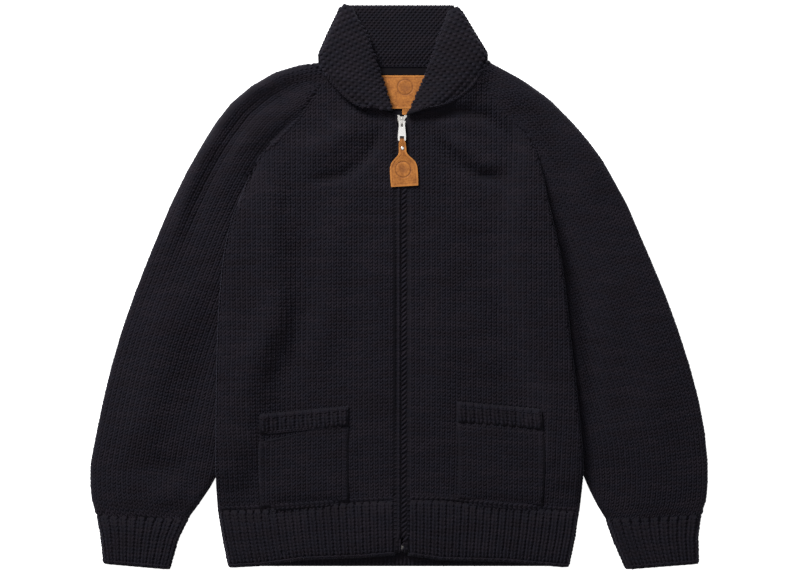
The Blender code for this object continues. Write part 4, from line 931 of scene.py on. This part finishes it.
# ---- zip
# A metal zip on woven tapes is sewn behind both bands.  Its closed chain is a plain dark strip here,
# without teeth, up to the slider at the top, and its box holds the lower ends together.
def wear_group():
    """Slow and fine mottling with the matching normals, which every plain surface here shares."""
    tree = bpy.data.node_groups.new("wear", "ShaderNodeTree")
    for name, start in (("Fine Scale", 900.0), ("Depth", 0.0002)):
        tree.interface.new_socket(name, in_out="INPUT", socket_type="NodeSocketFloat").default_value = start
    for name, kind in (("Slow", "Float"), ("Fine", "Float"), ("Normal", "Vector")):
        tree.interface.new_socket(name, in_out="OUTPUT", socket_type=f"NodeSocket{kind}")
    given = add(tree, "NodeGroupInput").outputs
    where = add(tree, "ShaderNodeTexCoord").outputs["Object"]
    slow = add(tree, "ShaderNodeTexNoise", {"Vector": where, "Scale": 110.0, "Detail": 5.0}).outputs["Fac"]
    scales = {"Vector": where, "Scale": given["Fine Scale"], "Detail": 3.0}
    fine = add(tree, "ShaderNodeTexNoise", scales).outputs["Fac"]
    bump = add(tree, "ShaderNodeBump", {"Distance": given["Depth"], "Height": fine})
    add(tree, "NodeGroupOutput", {"Slow": slow, "Fine": fine, "Normal": bump.outputs["Normal"]})
    return tree


WEAR = wear_group()


def blend(tree, amount, dark, light):
    """One colour turned into another."""
    mix = add(tree, "ShaderNodeMix", {"Factor": amount, "A": dark, "B": (*light, 1.0)}, data_type="RGBA")
    return mix.outputs["Result"]


def surface(name, dark, light, roughness, metal=0.0, specular=0.5, fine=900.0, depth=0.0002):
    """A material mottled between two colours, and rough or smooth with them."""
    made, tree, shader = new_material(name)
    wear = add(tree, "ShaderNodeGroup", {"Fine Scale": fine, "Depth": depth}, node_tree=WEAR).outputs
    both = add(tree, "ShaderNodeMath", {0: wear["Slow"], 1: wear["Fine"]}).outputs["Value"]
    spread = add(tree, "ShaderNodeMapRange", {"Value": both, "From Min": 0.7, "From Max": 1.3})
    matt = {"Value": wear["Fine"], "To Min": roughness * 0.85, "To Max": roughness * 1.15}
    feed(tree, shader, {
        "Metallic": metal,
        "Specular IOR Level": specular,
        "Base Color": blend(tree, spread.outputs["Result"], (*dark, 1.0), light),
        "Roughness": add(tree, "ShaderNodeMapRange", matt).outputs["Result"],
        "Normal": wear["Normal"],
    })
    return made


def dress(node, material, bevel=0.0):
    """Gives a part of the solid model its own material, and softens its edges."""
    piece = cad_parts[node]
    piece.data.materials.clear()
    piece.data.materials.append(material)
    if bevel:
        soft = piece.modifiers.new("weld", "WELD")
        soft.merge_threshold = 1e-5
        round_off = piece.modifiers.new("bevel", "BEVEL")
        round_off.width = bevel
        round_off.segments = 2
        round_off.limit_method = "ANGLE"
        round_off.angle_limit = math.radians(40)


NICKEL = surface("nickel", (0.60, 0.59, 0.57), (0.72, 0.71, 0.69), 0.30, metal=1.0, depth=0.00002)
CAST_NICKEL = surface("cast_nickel", (0.42, 0.40, 0.38), (0.66, 0.64, 0.61), 0.30, metal=1.0, depth=0.00006)
TAPE, DARK_TAPE = (
    surface(name, dark, light, 0.9, specular=specular, fine=700.0)
    for name, dark, light, specular in (
        ("woven_tape", (0.0026, 0.0021, 0.0032), (0.0046, 0.0038, 0.0056), 0.1),
        ("zip_tape", (0.0020, 0.0018, 0.0025), (0.0030, 0.0026, 0.0036), 0.0),
    )
)
for node in ("zip_tape_left", "zip_tape_right", "zip_chain"):
    dress(node, DARK_TAPE)
dress("neck_tape", TAPE)
for node in ("zip_pull", "tag_rivet"):
    dress(node, NICKEL, 0.0003)
dress("zip_slider", CAST_NICKEL, 0.0003)
# The zip's box is nickel darkened from near-black to grey, which dims its reflection.
dress("zip_box", surface("dark_nickel", (0.02, 0.02, 0.02), (0.20, 0.19, 0.18), 0.5, metal=1.0), 0.0003)

# ---- leather
# The pull's long strap and the patches at the neck are cut from tan leather.  Their faces are bare but
# for a pressed border and a plain pressed ring, and their cut edges are burnished.  Where the strap
# loops through the pull it is painted near-black, as painted shadow.
BURNISHED = 0.0022  # how far in from a cut edge the leather is pale
BORDER = (0.0034, 0.0008)  # how far in the pressed border is, and half its width
LOOP_SHADOW_FADE = 0.0008  # over what height the painted shadow darkens the strap where it loops through the pull


def leather(name, shapes, ring, loop=None):
    """Tan leather: mottled and grained, pale at its cut edge, with a pressed line and a pressed ring.

    The shapes are convex polygons that together make the piece's outline, each counter-clockwise, and
    the ring has a centre and two radii.  Above the height loop, where the strap turns inwards through
    the pull, it is painted near-black as painted shadow.
    """
    made = surface(name, (0.185, 0.056, 0.008), (0.400, 0.148, 0.028), 0.68, specular=0.25, fine=420.0)
    tree = made.node_tree
    shader = tree.nodes["Principled BSDF"]
    shade, grain = (shader.inputs[key].links[0].from_socket for key in ("Base Color", "Normal"))
    where = add(tree, "ShaderNodeTexCoord").outputs["Object"]
    apart = add(tree, "ShaderNodeSeparateXYZ", {0: where}).outputs

    def compute(operation, *values):
        return add(tree, "ShaderNodeMath", dict(enumerate(values)), operation=operation).outputs[0]

    depths = []
    for shape in shapes:
        for i, ((x0, y0), (x1, y1)) in enumerate(zip(shape, shape[1:] + shape[:1])):
            length = math.hypot(x1 - x0, y1 - y0)
            a, b = -(y1 - y0) / length, (x1 - x0) / length
            away = compute("MULTIPLY_ADD", apart["X"], a, -(a * x0 + b * y0))
            away = compute("MULTIPLY_ADD", apart["Y"], b, away)
            deep = compute("MINIMUM", deep, away) if i else away
        depths.append(deep)
    inside = depths[0] if len(depths) == 1 else compute("MAXIMUM", *depths)
    x, y, wide, high = ring
    across = compute("MULTIPLY_ADD", apart["X"], 1 / wide, -x / wide)
    along = compute("MULTIPLY_ADD", apart["Y"], 1 / high, -y / high)
    squares = [compute("MULTIPLY", value, value) for value in (across, along)]
    far = compute("SQRT", compute("ADD", *squares))

    def line(value, middle, half):
        off = compute("DIVIDE", compute("ABSOLUTE", compute("SUBTRACT", value, middle)), half)
        return compute("SUBTRACT", 1.0, compute("MINIMUM", off, 1.0))

    edge = compute("DIVIDE", compute("MAXIMUM", inside, 0.0), BURNISHED)
    rim = compute("SUBTRACT", 1.0, compute("MINIMUM", edge, 1.0))
    pressed = compute("MAXIMUM", compute("MULTIPLY", line(inside, *BORDER), 0.5), line(far, 1.0, 0.13))
    pressed = compute("MAXIMUM", pressed, compute("MULTIPLY", line(far, 0.0, 0.8), 0.9))
    shade = blend(tree, compute("MULTIPLY", pressed, 0.60), shade, (0.120, 0.036, 0.012))
    shade = blend(tree, compute("MULTIPLY", rim, 0.80), shade, (0.44, 0.170, 0.034))
    if loop:
        # Painted shadow: the strap turns near-black above the height where it loops into the pull.
        turned = compute("MULTIPLY_ADD", apart["Y"], 1 / LOOP_SHADOW_FADE, -loop / LOOP_SHADOW_FADE)
        hidden = compute("MINIMUM", compute("MAXIMUM", turned, 0.0), 0.95)
        shade = blend(tree, hidden, shade, (0.006, 0.004, 0.003))
    raised = compute("SUBTRACT", 1.0, pressed)
    sunk = add(tree, "ShaderNodeBump", {"Distance": 0.0004, "Height": raised, "Normal": grain})
    feed(tree, shader, {"Base Color": shade, "Normal": sunk.outputs["Normal"]})
    return made


def tag_shape(half, centre=(0.0040, 0.2022), lean=math.radians(3.4)):
    """A shape of the tag from its half width at each height, from its lower edge upwards."""
    places = [(w, y) for y, w in half] + [(-w, y) for y, w in half[::-1] if w]
    return [
        (
            centre[0] + x * math.cos(lean) - (y - centre[1]) * math.sin(lean),
            centre[1] + x * math.sin(lean) + (y - centre[1]) * math.cos(lean),
        )
        for x, y in places
    ]


TAG_BODY = (
    (0.137, 0.0186), (0.147, 0.0190), (0.158, 0.0190), (0.164, 0.0186), (0.1695, 0.0166),
    (0.1735, 0.0134), (0.177, 0.0098), (0.180, 0.0068), (0.1868, 0.0),
)
TAG_NECK = ((0.176, 0.0056), (0.184, 0.0052), (0.1955, 0.0048), (0.210, 0.0048))
tag_leather = leather(
    "tag_leather", [tag_shape(TAG_BODY), tag_shape(TAG_NECK)], (0.0058, 0.1600, 0.0105, 0.0108), 0.2016
)
dress("pull_tag", tag_leather, 0.0003)
patch_edge = [(-0.030, 0.244), (0.040, 0.244), (0.040, 0.2896), (-0.030, 0.2896)]
dress("neck_patch", leather("patch_leather", [patch_edge], (0.0085, 0.2735, 0.0105, 0.0105)), 0.0003)
small_edge = [(0.0045, 0.2358), (0.0165, 0.2358), (0.0165, 0.2500), (0.0045, 0.2500)]
dress("small_patch", leather("small_leather", [small_edge], (0.0105, 0.2396, 0.002, 0.002)), 0.0003)

# ---- stage
# A plain white surface, lit softly from above the collar, and seen straight from above.
CAMERA_HEIGHT = 3.0
CLOTH_HEIGHT = 0.012  # at which the view is VIEW_WIDTH wide
VIEW_WIDTH = 1.096
VIEW_CENTRE = (0.0014, 0.0013)

floor_mesh = bpy.data.meshes.new("floor")
floor_mesh.from_pydata([(-4, -4, 0), (4, -4, 0), (4, 4, 0), (-4, 4, 0)], [], [(0, 1, 2, 3)])
floor_white, tree, glow = new_material("floor_white")
feed(tree, glow, {"Base Color": (0.9, 0.9, 0.9, 1.0), "Roughness": 0.9})
feed(tree, glow, {"Emission Color": (1.0, 1.0, 1.0, 1.0), "Emission Strength": 0.85})
floor_mesh.materials.append(floor_white)
floor = placed("floor", floor_mesh)


def softbox(name, place, size, power):
    """A broad soft light that faces the middle of the cardigan."""
    light = bpy.data.lights.new(name, "AREA")
    light.shape = "RECTANGLE"
    light.size, light.size_y = size
    light.energy = power
    made = placed(name, light)
    made.location = place
    made.rotation_euler = (-Vector(place)).to_track_quat("-Z", "Y").to_euler()


softbox("key", (-1.25, 2.05, 1.6), (1.2, 1.0), 135.0)
softbox("overhead", (0.0, -0.3, 3.4), (2.2, 2.2), 20.0)
world = bpy.data.worlds.new("studio")
world.use_nodes = True
feed(world.node_tree, world.node_tree.nodes["Background"], {"Color": (1, 1, 1, 1), "Strength": 0.32})
bpy.context.scene.world = world
bpy.context.scene.view_settings.view_transform = "Standard"

camera_data = bpy.data.cameras.new("camera")
camera_data.sensor_width = 36.0
camera_data.lens = camera_data.sensor_width * (CAMERA_HEIGHT - CLOTH_HEIGHT) / VIEW_WIDTH
camera = placed("camera", camera_data)
camera.location = (*VIEW_CENTRE, CAMERA_HEIGHT)
bpy.context.scene.camera = camera

for pattern in PATTERNS:
    bpy.data.objects.remove(pattern, do_unlink=True)
